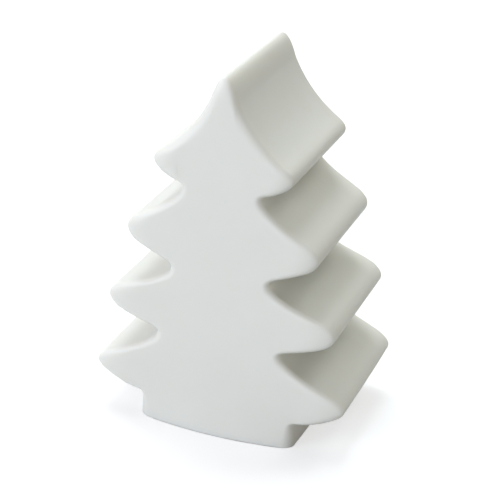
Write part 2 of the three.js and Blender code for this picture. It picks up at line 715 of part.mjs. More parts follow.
function circuitBoard() {
  const outline = new THREE.Shape().absarc(0, 0, boardRadius, 0, 2 * Math.PI);
  const hole = (x, y, radius) => new THREE.Path().absarc(x, y, radius, 0, 2 * Math.PI, true);
  for (const y of [-BOSS_Y, BOSS_Y]) {
    outline.holes.push(hole(0, y, SCREW_RADIUS + SCREW_CLEARANCE));
  }
  for (const x of [-LEAD_PITCH / 2, LEAD_PITCH / 2]) {
    outline.holes.push(hole(x, 0, LEAD_HOLE_RADIUS));
  }
  return plate(outline, boardBottom, boardTop, BOARD_ARC_STEPS);
}

function ledLens() {
  const dome = [];
  const shoulder = lampBottom + LAMP_HEIGHT - LAMP_RADIUS;
  for (let i = 0; i <= LAMP_DOME_STEPS; i += 1) {
    const turn = (Math.PI / 2) * (i / LAMP_DOME_STEPS);
    dome.push([LAMP_RADIUS * Math.cos(turn), shoulder + LAMP_RADIUS * Math.sin(turn)]);
  }
  dome.at(-1)[0] = 0;
  return turned([
    [0, lampBottom],
    [LAMP_FLANGE_RADIUS, lampBottom],
    [LAMP_FLANGE_RADIUS, lampBottom + LAMP_FLANGE_HEIGHT],
    [LAMP_RADIUS, lampBottom + LAMP_FLANGE_HEIGHT],
    ...dome,
  ], LAMP_SEGMENTS);
}

function lampLead(x) {
  const half = LEAD_SIZE / 2;
  return block(x - half, x + half, -half, half, boardBottom - LEAD_TAIL, lampBottom - SEAT);
}

function resistor() {
  const { x, y } = RESISTOR_PLACE;
  const half = RESISTOR_SIZE.clone().multiplyScalar(0.5);
  return block(x - half.x, x + half.x, y - half.y, y + half.y, boardTop, boardTop + RESISTOR_SIZE.z);
}

// Cells and contacts

function cell(index) {
  const start = stackStartX + index * (CELL_HEIGHT + SEAT);
  const can = CELL_HEIGHT - CELL_CAP_HEIGHT;
  const radius = CELL_DIAMETER / 2;
  const profile = [
    [0, 0],
    [CELL_CAP_DIAMETER / 2 - CELL_EDGE, 0],
    [CELL_CAP_DIAMETER / 2, CELL_EDGE],
    [CELL_CAP_DIAMETER / 2, CELL_CAP_HEIGHT],
    [radius - CELL_EDGE, CELL_CAP_HEIGHT],
    [radius, CELL_CAP_HEIGHT + CELL_EDGE],
    [radius, CELL_CAP_HEIGHT + can - CELL_EDGE],
    [radius - CELL_EDGE, CELL_HEIGHT],
    [0, CELL_HEIGHT],
  ];
  const upright = turned(profile, CELL_SEGMENTS);
  return upright.rotateY(Math.PI / 2).translate(start, TROUGH_OFFSET, cellAxisZ);
}

// A sheet contact at one end of the cells, with a tab that goes up to the board.
function contactSheet(side) {
  const [inner, outer] = [side * plateX, side * (plateX + CONTACT_THICKNESS)];
  const [x0, x1] = [Math.min(inner, outer), Math.max(inner, outer)];
  const foot = cellBottom + CONTACT_FOOT;
  const [wide, tab] = [CONTACT_WIDTH / 2, TAB_WIDTH / 2];
  const sheet = join(
    block(x0, x1, TROUGH_OFFSET - wide, TROUGH_OFFSET + wide, foot, foot + CONTACT_HEIGHT),
    block(x0, x1, TROUGH_OFFSET - tab, TROUGH_OFFSET + tab, foot, boardBottom - SEAT),
  );
  return toGeometry(sheet);
}

// A tapered coil that presses on the first cell, its wide end on the sheet contact.
function contactSpring() {
  const steps = SPRING_STEPS * SPRING_TURNS;
  const sides = SPRING_SIDES;
  const from = -plateX + SEAT + SPRING_WIRE / 2;
  const to = stackStartX - SEAT - SPRING_WIRE / 2;
  const rings = [];
  for (let i = 0; i <= steps; i += 1) {
    const share = i / steps;
    const turn = 2 * Math.PI * SPRING_TURNS * share;
    const radius = THREE.MathUtils.lerp(SPRING_WIDE_RADIUS, SPRING_NARROW_RADIUS, share);
    const outward = new THREE.Vector3(0, Math.cos(turn), Math.sin(turn));
    const centre = outward.clone().multiplyScalar(radius);
    centre.add(new THREE.Vector3(THREE.MathUtils.lerp(from, to, share), TROUGH_OFFSET, cellAxisZ));
    const ring = [];
    for (let k = 0; k < sides; k += 1) {
      const spin = (2 * Math.PI * k) / sides;
      const point = centre.clone().addScaledVector(outward, (SPRING_WIRE / 2) * Math.cos(spin));
      point.x += (SPRING_WIRE / 2) * Math.sin(spin);
      ring.push(point);
    }
    rings.push({ centre, ring });
  }
  const points = [];
  for (let i = 0; i < steps; i += 1) {
    for (let k = 0; k < sides; k += 1) {
      const n = (k + 1) % sides;
      const [a, b] = [rings[i].ring, rings[i + 1].ring];
      points.push(a[k], a[n], b[n], a[k], b[n], b[k]);
    }
  }
  for (let k = 0; k < sides; k += 1) {
    const n = (k + 1) % sides;
    points.push(rings[0].centre, rings[0].ring[n], rings[0].ring[k]);
    points.push(rings[steps].centre, rings[steps].ring[k], rings[steps].ring[n]);
  }
  let least = Infinity;
  for (let i = 0; i <= steps; i += 1) {
    for (let j = i + SPRING_STEPS / 2; j <= steps; j += 1) {
      least = Math.min(least, rings[i].centre.distanceTo(rings[j].centre) - SPRING_WIRE);
    }
  }
  console.log(`contact spring: least gap to itself ${least.toFixed(2)} mm`);
  return new THREE.BufferGeometry().setFromPoints(points);
}

// Slide switch, knob down

const sliderBottom = switchBottom + SWITCH_SHEET + SEAT;
const switchBaseBottom = switchTop - SWITCH_BASE_THICKNESS;

function switchCase() {
  const [x, y] = [SWITCH_LENGTH / 2, SWITCH_DEPTH / 2];
  const sheet = SWITCH_SHEET;
  const outer = block(-x, x, switchY - y, switchY + y, switchBottom, switchTop);
  const inner = block(-x + sheet, x - sheet, switchY - y + sheet, switchY + y - sheet,
    switchBottom + sheet, switchTop + PAST);
  const slotX = (KNOB_LENGTH + SWITCH_TRAVEL) / 2 + GAP;
  const slotY = KNOB_DEPTH / 2 + GAP;
  const slot = block(-slotX, slotX, switchY - slotY, switchY + slotY, 0, switchBottom + PAST);
  return toGeometry(cut(toSolid(outer), inner, slot));
}

function switchBase() {
  const inset = SWITCH_SHEET + SEAT;
  const [x, y] = [SWITCH_LENGTH / 2 - inset, SWITCH_DEPTH / 2 - inset];
  return block(-x, x, switchY - y, switchY + y, switchBaseBottom, switchTop);
}

// The knob stands at its off end, and slides towards +X.
function switchKnob() {
  const middle = -SWITCH_TRAVEL / 2;
  const [x, y] = [KNOB_LENGTH / 2, KNOB_DEPTH / 2];
  const foot = flangeBottom + GAP;
  const stemTop = sliderBottom + SLIDER_HEIGHT / 2;
  const stem = block(middle - x, middle + x, switchY - y, switchY + y, foot, stemTop);
  const [sliderX, sliderY] = [SLIDER_LENGTH / 2, SLIDER_DEPTH / 2];
  const slider = block(middle - sliderX, middle + sliderX, switchY - sliderY, switchY + sliderY,
    sliderBottom, sliderBottom + SLIDER_HEIGHT);
  const groove = block(middle - KNOB_RIDGE, middle + KNOB_RIDGE,
    switchY - y - PAST, switchY + y + PAST, 0, foot + KNOB_RIDGE);
  return toGeometry(cut(join(stem, slider), groove));
}

function switchTerminal(index) {
  const x = (index - (TERMINAL_COUNT - 1) / 2) * TERMINAL_PITCH;
  const [w, t] = [TERMINAL_WIDTH / 2, TERMINAL_THICKNESS / 2];
  return block(x - w, x + w, switchY - t, switchY + t, switchTop, switchTop + TERMINAL_LENGTH);
}

// The wire runs from a switch terminal up to the underside of the board.
function switchWire(terminalX, landingX) {
  const start = switchTop + TERMINAL_LENGTH + SEAT;
  const end = boardBottom - SEAT;
  const middle = (start + end) / 2;
  return tube([
    [terminalX, switchY, start],
    [terminalX, switchY, start + WIRE_RADIUS],
    [(terminalX + landingX) / 2, switchY, middle - WIRE_SWING],
    [landingX, switchY, middle + WIRE_SWING],
    [landingX, switchY, end],
  ], WIRE_RADIUS, WIRE_SIDES, WIRE_STEPS);
}

// Assembly

const FINISHES = {
  vinyl: { color: 0xe6e6e1, roughness: 0.5, metalness: 0 },
  housing: { color: 0xefefec, roughness: 0.4, metalness: 0 },
  steel: { color: 0xb9bcc0, roughness: 0.35, metalness: 1 },
  cellSteel: { color: 0xc9cbcd, roughness: 0.25, metalness: 1 },
  board: { color: 0x2e6b3a, roughness: 0.5, metalness: 0 },
  phenolic: { color: 0x8a5a2b, roughness: 0.6, metalness: 0 },
  blackPlastic: { color: 0x1c1c1e, roughness: 0.5, metalness: 0 },
  lens: { color: 0xf4f4f2, roughness: 0.2, metalness: 0 },
  tinned: { color: 0xd0d2d3, roughness: 0.3, metalness: 1 },
  redWire: { color: 0xb3261e, roughness: 0.5, metalness: 0 },
  blackWire: { color: 0x1b1b1b, roughness: 0.5, metalness: 0 },
};

const tree = new THREE.Group();

function add(name, geometry, finish) {
  const mesh = new THREE.Mesh(weld(geometry), new THREE.MeshStandardMaterial(FINISHES[finish]));
  mesh.name = name;
  tree.add(mesh);
}

add('tree_shell', treeShell(), 'vinyl');
add('base_housing', baseHousing(), 'housing');
add('battery_door', batteryDoor(), 'housing');
add('door_screw', doorScrew(), 'steel');
add('top_cover', topCover(), 'housing');
add('cover_screw_1', coverScrew(-BOSS_Y), 'steel');
add('cover_screw_2', coverScrew(BOSS_Y), 'steel');
add('circuit_board', circuitBoard(), 'board');
add('resistor', resistor(), 'blackPlastic');
add('led_lens', ledLens(), 'lens');
add('led_anode_lead', lampLead(-LEAD_PITCH / 2), 'tinned');
add('led_cathode_lead', lampLead(LEAD_PITCH / 2), 'tinned');
for (let i = 0; i < CELL_COUNT; i += 1) add(`button_cell_${i + 1}`, cell(i), 'cellSteel');
add('contact_spring', contactSpring(), 'steel');
add('spring_plate', contactSheet(-1), 'steel');
add('contact_plate', contactSheet(1), 'steel');
add('switch_case', switchCase(), 'steel');
add('switch_base', switchBase(), 'phenolic');
add('switch_knob', switchKnob(), 'blackPlastic');
for (let i = 0; i < TERMINAL_COUNT; i += 1) {
  add(`switch_terminal_${i + 1}`, switchTerminal(i), 'tinned');
}
add('wire_red', switchWire(-TERMINAL_PITCH, -WIRE_LANDING_X), 'redWire');
add('wire_black', switchWire(0, WIRE_LANDING_X), 'blackWire');

export default tree;
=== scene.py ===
"""Looks of the lighted tree, a soft vinyl night light that stands on its trunk.

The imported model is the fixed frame. The shell and the outer pieces of its light module are
modelled again here with a finer surface, and every piece gets the finish of its real
material. The classes hold their sizes in millimetres, and a mesh is scaled to metres once,
when it becomes a piece.
"""

from __future__ import annotations

import logging
import math
from collections.abc import Callable, Iterable, Sequence
from dataclasses import dataclass, field
from enum import Enum
from typing import Any

import bmesh
import bpy
from mathutils import Euler, Matrix, Vector

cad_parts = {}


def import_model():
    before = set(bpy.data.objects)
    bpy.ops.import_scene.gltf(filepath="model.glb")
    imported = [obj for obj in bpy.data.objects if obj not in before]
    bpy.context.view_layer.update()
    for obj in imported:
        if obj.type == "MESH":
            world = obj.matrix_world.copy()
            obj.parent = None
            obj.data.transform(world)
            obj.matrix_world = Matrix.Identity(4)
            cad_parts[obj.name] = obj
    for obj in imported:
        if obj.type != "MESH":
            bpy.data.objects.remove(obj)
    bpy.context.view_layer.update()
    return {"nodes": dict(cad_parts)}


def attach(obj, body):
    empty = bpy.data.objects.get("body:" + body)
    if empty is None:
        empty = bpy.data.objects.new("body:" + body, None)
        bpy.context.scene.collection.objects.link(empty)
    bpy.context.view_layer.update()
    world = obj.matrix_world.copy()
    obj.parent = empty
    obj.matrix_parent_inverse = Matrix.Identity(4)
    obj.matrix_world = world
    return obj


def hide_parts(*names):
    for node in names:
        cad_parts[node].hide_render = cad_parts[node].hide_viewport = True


LOG = logging.getLogger("lighted_tree")
MM = 0.001
NEARLY_ZERO = 1e-9
FINE_WELD = 1e-5  # Points of a spun solid nearer than this, in millimetres, become one.
WELD = 1e-4  # The same for plates and letters.
LEVEL_GAP = 1e-3  # How far off a level a point may lie, in millimetres.
PAST = 1.0  # How far a cutting solid reaches past a face, in millimetres.
OVERLAP = 0.1  # How far joined solids run into each other, in millimetres.
CREASE = math.radians(50)  # An edge that turns by more than this gets rounded.
CRISP = math.radians(40)  # An edge that turns by more than this is shaded crisp.


class Body(Enum):
    """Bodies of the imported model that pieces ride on."""

    TREE = "tree"
    DOOR = "battery_door"
    SCREW = "door_screw"
    KNOB = "switch_knob"


class Join(Enum):
    """Ways of combining two closed solids."""

    CUT = "DIFFERENCE"
    UNITE = "UNION"
    COMMON = "INTERSECT"


class Solver(Enum):
    """Ways of working out a combination of two solids."""

    MANIFOLD = "MANIFOLD"
    EXACT = "EXACT"


def linear(hex_colour: str) -> tuple[float, float, float, float]:
    """Turn an sRGB hex colour into linear RGBA.

    Args:
        hex_colour: Six hex digits, such as "e6e6e1".

    Returns:
        Linear red, green, blue and an alpha of 1.
    """
    channels = [int(hex_colour[i : i + 2], 16) / 255 for i in (0, 2, 4)]
    red, green, blue = [
        c / 12.92 if c <= 0.04045 else ((c + 0.055) / 1.055) ** 2.4 for c in channels
    ]
    return red, green, blue, 1.0


def add_node(
    tree: bpy.types.NodeTree,
    kind: str,
    settings: dict[str, Any] | None = None,
    inputs: dict[str | int, Any] | None = None,
    links: dict[str | int, bpy.types.NodeSocket] | None = None,
) -> bpy.types.Node:
    """Add one shader node with its settings, input values and links.

    Args:
        tree: Node tree that gets the node.
        kind: Type name of the node.
        settings: Attributes of the node itself.
        inputs: Values of its input sockets, by name or number.
        links: Output sockets that feed its input sockets, by name or number.

    Returns:
        The new node.
    """
    node = tree.nodes.new(kind)
    for name, value in (settings or {}).items():
        setattr(node, name, value)
    for name, value in (inputs or {}).items():
        node.inputs[name].default_value = value
    for name, socket in (links or {}).items():
        tree.links.new(socket, node.inputs[name])
    return node


def emptied(owner: bpy.types.Material | bpy.types.World) -> bpy.types.NodeTree:
    """Turn on the nodes of a material or world, and clear them away."""
    owner.use_nodes = True
    owner.node_tree.nodes.clear()
    return owner.node_tree


@dataclass(frozen=True)
class Finish:
    """What every finish has: a name, two close colours, gloss and a fine relief.

    The grain of a real mould or plating is 0.02 to 0.05 mm wide. That is too fine to show
    in the render, so the grain is drawn 0.1 to 0.5 mm wide.
    """

    name: str
    colour: str
    patch_colour: str
    roughness: float
    roughness_swing: float = 0.06
    metallic: float = 0.0
    patch_mm: float = 9.0
    grain_mm: float = 0.3
    grain_depth_mm: float = 0.004
    ior: float = 1.5

    def start(self) -> tuple[bpy.types.Material, bpy.types.Node]:
        """Make the material with its shader, soft colour patches, gloss patches and grain.

        Returns:
            The material and its Principled shader.
        """
        material = bpy.data.materials.new(self.name)
        tree = emptied(material)
        place = add_node(tree, "ShaderNodeTexCoord").outputs["Object"]
        patches = add_node(
            tree,
            "ShaderNodeTexNoise",
            inputs={"Scale": 1 / (self.patch_mm * MM), "Detail": 2.0, "Roughness": 0.5},
            links={"Vector": place},
        )
        tint = add_node(
            tree,
            "ShaderNodeMix",
            settings={"data_type": "RGBA"},
            inputs={6: linear(self.colour), 7: linear(self.patch_colour)},
            links={0: patches.outputs["Fac"]},
        )
        gloss = add_node(
            tree,
            "ShaderNodeMapRange",
            inputs={
                "To Min": self.roughness - self.roughness_swing / 2,
                "To Max": self.roughness + self.roughness_swing / 2,
            },
            links={"Value": patches.outputs["Fac"]},
        )
        grain = add_node(
            tree,
            "ShaderNodeTexNoise",
            inputs={"Scale": 1 / (self.grain_mm * MM), "Detail": 3.0, "Roughness": 0.6},
            links={"Vector": place},
        )
        relief = add_node(
            tree,
            "ShaderNodeBump",
            inputs={"Strength": 1.0, "Distance": self.grain_depth_mm * MM},
            links={"Height": grain.outputs["Fac"]},
        )
        shader = add_node(
            tree,
            "ShaderNodeBsdfPrincipled",
            inputs={"Metallic": self.metallic, "IOR": self.ior},
            links={
                "Base Color": tint.outputs[2],
                "Roughness": gloss.outputs["Result"],
                "Normal": relief.outputs["Normal"],
            },
        )
        add_node(tree, "ShaderNodeOutputMaterial", links={"Surface": shader.outputs["BSDF"]})
        return material, shader

    def make(self) -> bpy.types.Material:
        """Make the finished material."""
        return self.start()[0]


@dataclass(frozen=True)
class SoftVinyl(Finish):
    """Slush-moulded translucent PVC: satin, milky, light bleeds through its edges."""

    bleed_mm: float = 3.0
    bleed: float = 0.35
    bleed_tint: tuple[float, float, float] = (1.0, 0.86, 0.7)
    specular: float = 0.45

    def make(self) -> bpy.types.Material:
        """Make the vinyl, with light that scatters a few millimetres under the skin."""
        material, shader = self.start()
        shader.inputs["Subsurface Weight"].default_value = self.bleed
        shader.inputs["Subsurface Radius"].default_value = self.bleed_tint
        shader.inputs["Subsurface Scale"].default_value = self.bleed_mm * MM
        shader.inputs["Specular IOR Level"].default_value = self.specular
        return material


@dataclass(frozen=True)
class MilkyEpoxy(Finish):
    """Diffused epoxy of a lamp: glossy, and light passes partly through."""

    clear: float = 0.35
    bleed: float = 0.3
    bleed_mm: float = 1.5

    def make(self) -> bpy.types.Material:
        """Make the epoxy, part clear and part scattering."""
        material, shader = self.start()
        shader.inputs["Transmission Weight"].default_value = self.clear
        shader.inputs["Subsurface Weight"].default_value = self.bleed
        shader.inputs["Subsurface Scale"].default_value = self.bleed_mm * MM
        return material


@dataclass(frozen=True)
class Curve:
    """A cubic curve in the outline's plane, measured along its length."""

    start: Vector
    leaving: Vector
    arriving: Vector
    end: Vector
    samples: int = 100

    @classmethod
    def rounding(cls, start: Vector, corner: Vector, end: Vector) -> Curve:
        """Draw the rounding of a corner.

        Args:
            start: Where it leaves the edge before the corner.
            corner: The sharp corner.
            end: Where it meets the edge after the corner.

        Returns:
            The curve, which touches both edges.
        """
        return cls(start, start.lerp(corner, 2 / 3), end.lerp(corner, 2 / 3), end)

    def at(self, share: float) -> Vector:
        """Find the point at a share of the curve's parameter."""
        rest = 1 - share
        return (
            rest**3 * self.start
            + 3 * rest * rest * share * self.leaving
            + 3 * rest * share * share * self.arriving
            + share**3 * self.end
        )

    def lengths(self) -> list[float]:
        """List the distance along the curve at each sample."""
        places = [self.at(i / self.samples) for i in range(self.samples + 1)]
        total = [0.0]
        for before, after in zip(places, places[1:]):
            total.append(total[-1] + (after - before).length)
        return total

    def along(self, share_of_length: float) -> Vector:
        """Find the point at a share of the curve's length.

        Args:
            share_of_length: 0 at the start and 1 at the end.

        Returns:
            The point there.
        """
        total = self.lengths()
        wanted = share_of_length * total[-1]
        for i, (low, high) in enumerate(zip(total, total[1:])):
            if wanted <= high:
                within = (wanted - low) / max(high - low, NEARLY_ZERO)
                return self.at((i + within) / self.samples)
        return self.end.copy()

    def length(self) -> float:
        """Measure the curve."""
        return self.lengths()[-1]


@dataclass(frozen=True)
class Corner:
    """A sharp corner of the tree's right half, with its rounding and the edge below it.

    The two control points of that edge stand out by near, at this corner, and by far.
    In the hollow's outline both stand out by core.
    """

    x: float
    z: float
    rounding: float
    near: float = 0.0
    far: float = 0.0
    core: float = 0.0

    def place(self) -> Vector:
        """Give the corner's place in the outline's plane."""
        return Vector((self.x, self.z))


@dataclass(frozen=True)
class Steps:
    """How finely an outline is drawn."""

    corner: int
    edge: int
    top_edge: int


@dataclass(frozen=True)
class Level:
    """Where an outline of the shell stands, and how far it is drawn in.

    All of it moves in by inset, and by edge once more, which is less at inner corners.
    """

    y: float
    inset: float
    edge: float


@dataclass
class TreeShell:
    """The soft hollow tree, with rounded edges, an open trunk and a holding bead inside."""

    wall: float = 2.0
    half_depth: float = 16.17
    trunk_top_half: float = 15.87
    trunk_base_half: float = 16.17
    knee_z: float = 5.45
    tip_rounding: float = 3.8
    notch_rounding: float = 2.0
    notch_rounding: float = 2.0
    apex_rounding: float = 9.0
    knee_rounding: float = 1.3
    lowest_tip_out: float = 11.7
    lowest_tip_up: float = 4.45
    tip_growth: float = 0.3
    notch_growth: float = 1.0
    notch_crispness: float = 0.4
    edge_inset: float = 2.3
    edge_depth: float = 1.5
    edge_turns: int = 9
    face_lip: float = 0.35
    straight_shares: tuple[float, ...] = (-0.66, -0.33, 0.0, 0.33, 0.66)
    core_edge_scale: float = 0.5
    core_edge_turns: int = 4
    front_bow: float = 1.7
    side_bow: float = 0.5
    bow_decay: float = 6.0
    rim_rounding: float = 0.12
    rim_segments: int = 3
    bead_radius: float = 13.07
    bead_bottom: float = 2.9
    bead_height: float = 2.0
    bead_nose: float = 0.5
    bead_steps: int = 128
    strips: int = 20
    bow_steps: int = 14
    flat_tolerance: float = 1e-5
    outside: Steps = Steps(10, 8, 24)
    inside: Steps = Steps(5, 4, 10)

    def corners(self) -> list[Corner]:
        """List the sharp corners from the apex down to the table."""
        tip, notch = self.tip_rounding, self.notch_rounding
        lowest = self.trunk_top_half + self.lowest_tip_out, self.knee_z + self.lowest_tip_up
        return [
            Corner(0.0, 77.7, self.apex_rounding, -4.0, -4.5, -3.6),
            Corner(15.5, 55.8, tip, 0.8, 1.4, 1.1),
            Corner(7.2, 51.6, notch, -2.4, 0.5, -0.6),
            Corner(20.85, 40.85, tip, 2.0, 0.1, 0.9),
            Corner(9.3, 34.35, notch, -2.7, 1.8, 0.1),
            Corner(24.85, 25.45, tip, 2.2, 0.5, 0.9),
            Corner(12.0, 19.9, notch, -2.4, 1.1, 0.1),
            Corner(*lowest, tip, 0.6, 1.9, 1.3),
            Corner(self.trunk_top_half, self.knee_z, self.knee_rounding),
            Corner(self.trunk_base_half, 0.0, 0.0),
        ]

    def inset_corner(
        self, before: Vector, corner: Vector, after: Vector, level: Level
    ) -> tuple[Vector, float]:
        """Move a corner in, square to both of its edges.

        Args:
            before: The corner above it.
            corner: The corner itself.
            after: The corner below it.
            level: How far both edges move in.

        Returns:
            The new place, and how much more of both edges its rounding takes.
        """
        back = (before - corner).normalized()
        ahead = (after - corner).normalized()
        out_back = Vector((back.y, -back.x))
        mitre = out_back + Vector((-ahead.y, ahead.x))
        mitre /= mitre.dot(out_back)
        half = math.acos(max(-1.0, min(1.0, back.dot(ahead)))) / 2
        hollow = back.x * ahead.y - back.y * ahead.x < 0
        inset = level.inset + level.edge * (self.notch_crispness if hollow else 1.0)
        growth = self.notch_growth if hollow else self.tip_growth
        return corner - mitre * inset, inset / math.tan(half) * growth

    def edges(self, level: Level, floor: float, core: bool) -> tuple[list[Curve], list[float]]:
        """Draw the curved edges between the corners, and say how much each is trimmed.

        Args:
            level: How far the outline is drawn in.
            floor: Height of the outline's lower end.
            core: Whether this is the hollow's outline.

        Returns:
            The edges from the apex down, and the length trimmed off at each corner.
        """
        corners = self.corners()
        places = [corner.place() for corner in corners]
        mirrored = Vector((-places[1].x, places[1].y))
        moved: list[Vector] = []
        trims: list[float] = []
        for i, corner in enumerate(corners[:-1]):
            before = mirrored if i == 0 else places[i - 1]
            place, more = self.inset_corner(before, places[i], places[i + 1], level)
            moved.append(place)
            trims.append(corner.rounding + more)
        moved[0].x = 0.0
        moved.append(Vector((places[-1].x - level.inset - level.edge, floor)))
        edges = []
        for corner, start, end in zip(corners, moved, moved[1:]):
            along = end - start
            out = Vector((-along.y, along.x)).normalized()
            near, far = (corner.core, corner.core) if core else (corner.near, corner.far)
            leaving = start.lerp(end, 1 / 3) + out * near
            arriving = start.lerp(end, 2 / 3) + out * far
            edges.append(Curve(start, leaving, arriving, end))
        return edges, trims

    def half_outline(self, level: Level, floor: float, steps: Steps, core: bool) -> list[Vector]:
        """Draw the right half of the outline, from the apex down.

        Args:
            level: How far the outline is drawn in.
            floor: Height of its lower end.
            steps: How finely it is drawn.
            core: Whether this is the hollow's outline.

        Returns:
            The points of the right half.
        """
        edges, trims = self.edges(level, floor, core)
        lengths = [edge.length() for edge in edges]
        first = edges[0].along(trims[0] / lengths[0])
        cap = Curve.rounding(Vector((-first.x, first.y)), edges[0].start, first)
        points = [cap.at(0.5 + k / (2 * steps.corner)) for k in range(steps.corner + 1)]
        for i, edge in enumerate(edges):
            last = i == len(edges) - 1
            low = trims[i] / lengths[i]
            high = 1.0 if last else 1 - trims[i + 1] / lengths[i]
            count = steps.top_edge if i == 0 else steps.edge
            points += [edge.along(low + (high - low) * k / count) for k in range(1, count + 1)]
            if last:
                break
            onward = edges[i + 1].along(trims[i + 1] / lengths[i + 1])
            rounded = Curve.rounding(points[-1].copy(), edge.end, onward)
            points += [rounded.at(k / steps.corner) for k in range(1, steps.corner + 1)]
        points[0].x = 0.0
        return points

    def bow(self, place: Vector) -> Vector:
        """Bow the soft trunk out round the module at its open end.

        Args:
            place: A point of the shell before it is bowed.

        Returns:
            The point as the stretched shell has it.
        """
        fade = math.exp(-max(place.z, 0.0) / self.bow_decay)
        across = max(1 - (place.x / self.trunk_base_half) ** 2, 0.0)
        along = max(1 - (place.y / self.half_depth) ** 2, 0.0)
        wide = place.x * (1 + self.side_bow / self.trunk_base_half * along * fade)
        deep = place.y * (1 + self.front_bow / self.half_depth * across * fade)
        return Vector((wide, deep, place.z))

    def levels(self, depth: float, inset: float, scale: float, steps: int) -> list[Level]:
        """List the outlines from front to back, with rounded front and back edges.

        Args:
            depth: Half the depth of the body.
            inset: How far its widest outline is drawn in.
            scale: Size of the edge rounding beside the shell's own.
            steps: Number of steps in each rounded edge.

        Returns:
            The levels, with one more on the flat face to keep it flat up to the rounding.
        """
        reach, sink = self.edge_inset * scale, self.edge_depth * scale
        front = [Level(-depth, inset, reach + self.face_lip)]
        for i in range(steps + 1):
            turn = math.pi / 2 * (1 - i / steps)
            y = -(depth - sink + sink * math.sin(turn))
            front.append(Level(y, inset, reach * (1 - math.cos(turn))))
        straight = depth - sink
        middle = [Level(straight * share, inset, 0.0) for share in self.straight_shares]
        back = [Level(-level.y, level.inset, level.edge) for level in reversed(front)]
        return front + middle + back

    def loft(
        self, levels: list[Level], floor: float, steps: Steps, core: bool
    ) -> bmesh.types.BMesh:
        """Bridge the outlines into one closed body, close its front and back, and bow it.

        Args:
            levels: The outlines from front to back.
            floor: Height of their lower ends.
            steps: How finely they are drawn.
            core: Whether this is the hollow.

        Returns:
            The closed body.
        """
        bm = bmesh.new()
        rings = []
        for level in levels:
            right = self.half_outline(level, floor, steps, core)
            left = [Vector((-point.x, point.y)) for point in reversed(right[1:])]
            rings.append([bm.verts.new((p.x, level.y, p.y)) for p in left + right])
        loops = [[bm.edges.new(pair) for pair in zip(ring, ring[1:] + ring[:1])] for ring in rings]
        for near, far in zip(loops, loops[1:]):
            bmesh.ops.bridge_loops(bm, edges=near + far)
        for ring in (rings[0], rings[-1]):
            bm.faces.new(ring)
        for face in bm.faces:
            upright = len(face.verts) == len(rings[0])
            level_face = all(abs(vert.co.z - floor) < self.flat_tolerance for vert in face.verts)
            face.material_index = int(upright or level_face)
        self.cut_flats(bm)
        for vert in bm.verts:
            vert.co = self.bow(vert.co)
        bmesh.ops.recalc_face_normals(bm, faces=bm.faces)
        return bm

    def cut_flats(self, bm: bmesh.types.BMesh) -> None:
        """Cut the flat faces, marked by material 1, into patches, so that they can bow."""
        half, steps = self.trunk_base_half, self.bow_steps
        across = [half * (2 * k / self.strips - 1) for k in range(1, self.strips)]
        upward = [-self.bow_decay * math.log(1 - k / steps) for k in range(1, steps)]
        planes = [((x, 0.0, 0.0), (1.0, 0.0, 0.0)) for x in across]
        planes += [((0.0, 0.0, z), (0.0, 0.0, 1.0)) for z in upward]
        for place, square in planes:
            flats = [face for face in bm.faces if face.material_index == 1]
            edges = {edge for face in flats for edge in face.edges}
            verts = {vert for face in flats for vert in face.verts}
            bmesh.ops.bisect_plane(
                bm,
                geom=[*verts, *edges, *flats],
                dist=self.flat_tolerance,
                plane_co=place,
                plane_no=square,
            )
        bmesh.ops.dissolve_degenerate(bm, dist=10 * self.flat_tolerance, edges=bm.edges)
        for face in bm.faces:
            face.material_index = 0

    def bead(self) -> bmesh.types.BMesh:
        """Spin the ring of space left out of the hollow, where the bead stands."""
        far = 2 * self.trunk_base_half
        low, high = self.bead_bottom, self.bead_bottom + self.bead_height
        profile = [
            (far, low),
            (self.bead_radius + self.bead_nose, low),
            (self.bead_radius, low + self.bead_nose),
            (self.bead_radius, high - self.bead_nose),
            (self.bead_radius + self.bead_nose, high),
            (far, high),
        ]
        return spun(profile, self.bead_steps, closed_profile=True)

    def build(self) -> bmesh.types.BMesh:
        """Build the shell and hollow it.

        Returns:
            The shell, in millimetres.
        """
        depth, wall = self.half_depth, self.wall
        skin_levels = self.levels(depth, 0.0, 1.0, self.edge_turns)
        skin = self.loft(skin_levels, 0.0, self.outside, core=False)
        soften(skin, 0.0, self.rim_rounding, segments=self.rim_segments)
        core_levels = self.levels(depth - wall, wall, self.core_edge_scale, self.core_edge_turns)
        core = self.loft(core_levels, -wall, self.inside, core=True)
        hollow = combined("hollow", core, self.bead(), Join.CUT, Solver.EXACT)
        return combined("tree_skin", skin, hollow, Join.CUT, Solver.EXACT)


def closed(bm: bmesh.types.BMesh, weld: float) -> bmesh.types.BMesh:
    """Weld a solid's doubles, and turn its faces outwards."""
    bmesh.ops.remove_doubles(bm, verts=bm.verts, dist=weld)
    bmesh.ops.recalc_face_normals(bm, faces=bm.faces)
    return bm


def spun(
    profile: Sequence[tuple[float, float]],
    steps: int,
    centre: tuple[float, float] = (0.0, 0.0),
    closed_profile: bool = False,
) -> bmesh.types.BMesh:
    """Spin a profile once round an upright axis.

    Args:
        profile: Radii and heights. An open profile starts and ends on the axis.
        steps: Number of steps in the turn.
        centre: Where the axis stands.
        closed_profile: Whether the profile closes on itself, as a ring's does.

    Returns:
        The closed solid of revolution.
    """
    bm = bmesh.new()
    verts = [bm.verts.new((radius, 0.0, height)) for radius, height in profile]
    pairs = list(zip(verts, verts[1:]))
    if closed_profile:
        pairs.append((verts[-1], verts[0]))
    edges = [bm.edges.new(pair) for pair in pairs]
    bmesh.ops.spin(
        bm,
        geom=verts + edges,
        cent=(0.0, 0.0, 0.0),
        axis=(0.0, 0.0, 1.0),
        angle=2 * math.pi,
        steps=steps,
        use_merge=True,
        use_duplicate=False,
    )
    closed(bm, FINE_WELD)
    bmesh.ops.translate(bm, verts=bm.verts, vec=(centre[0], centre[1], 0.0))
    return bm


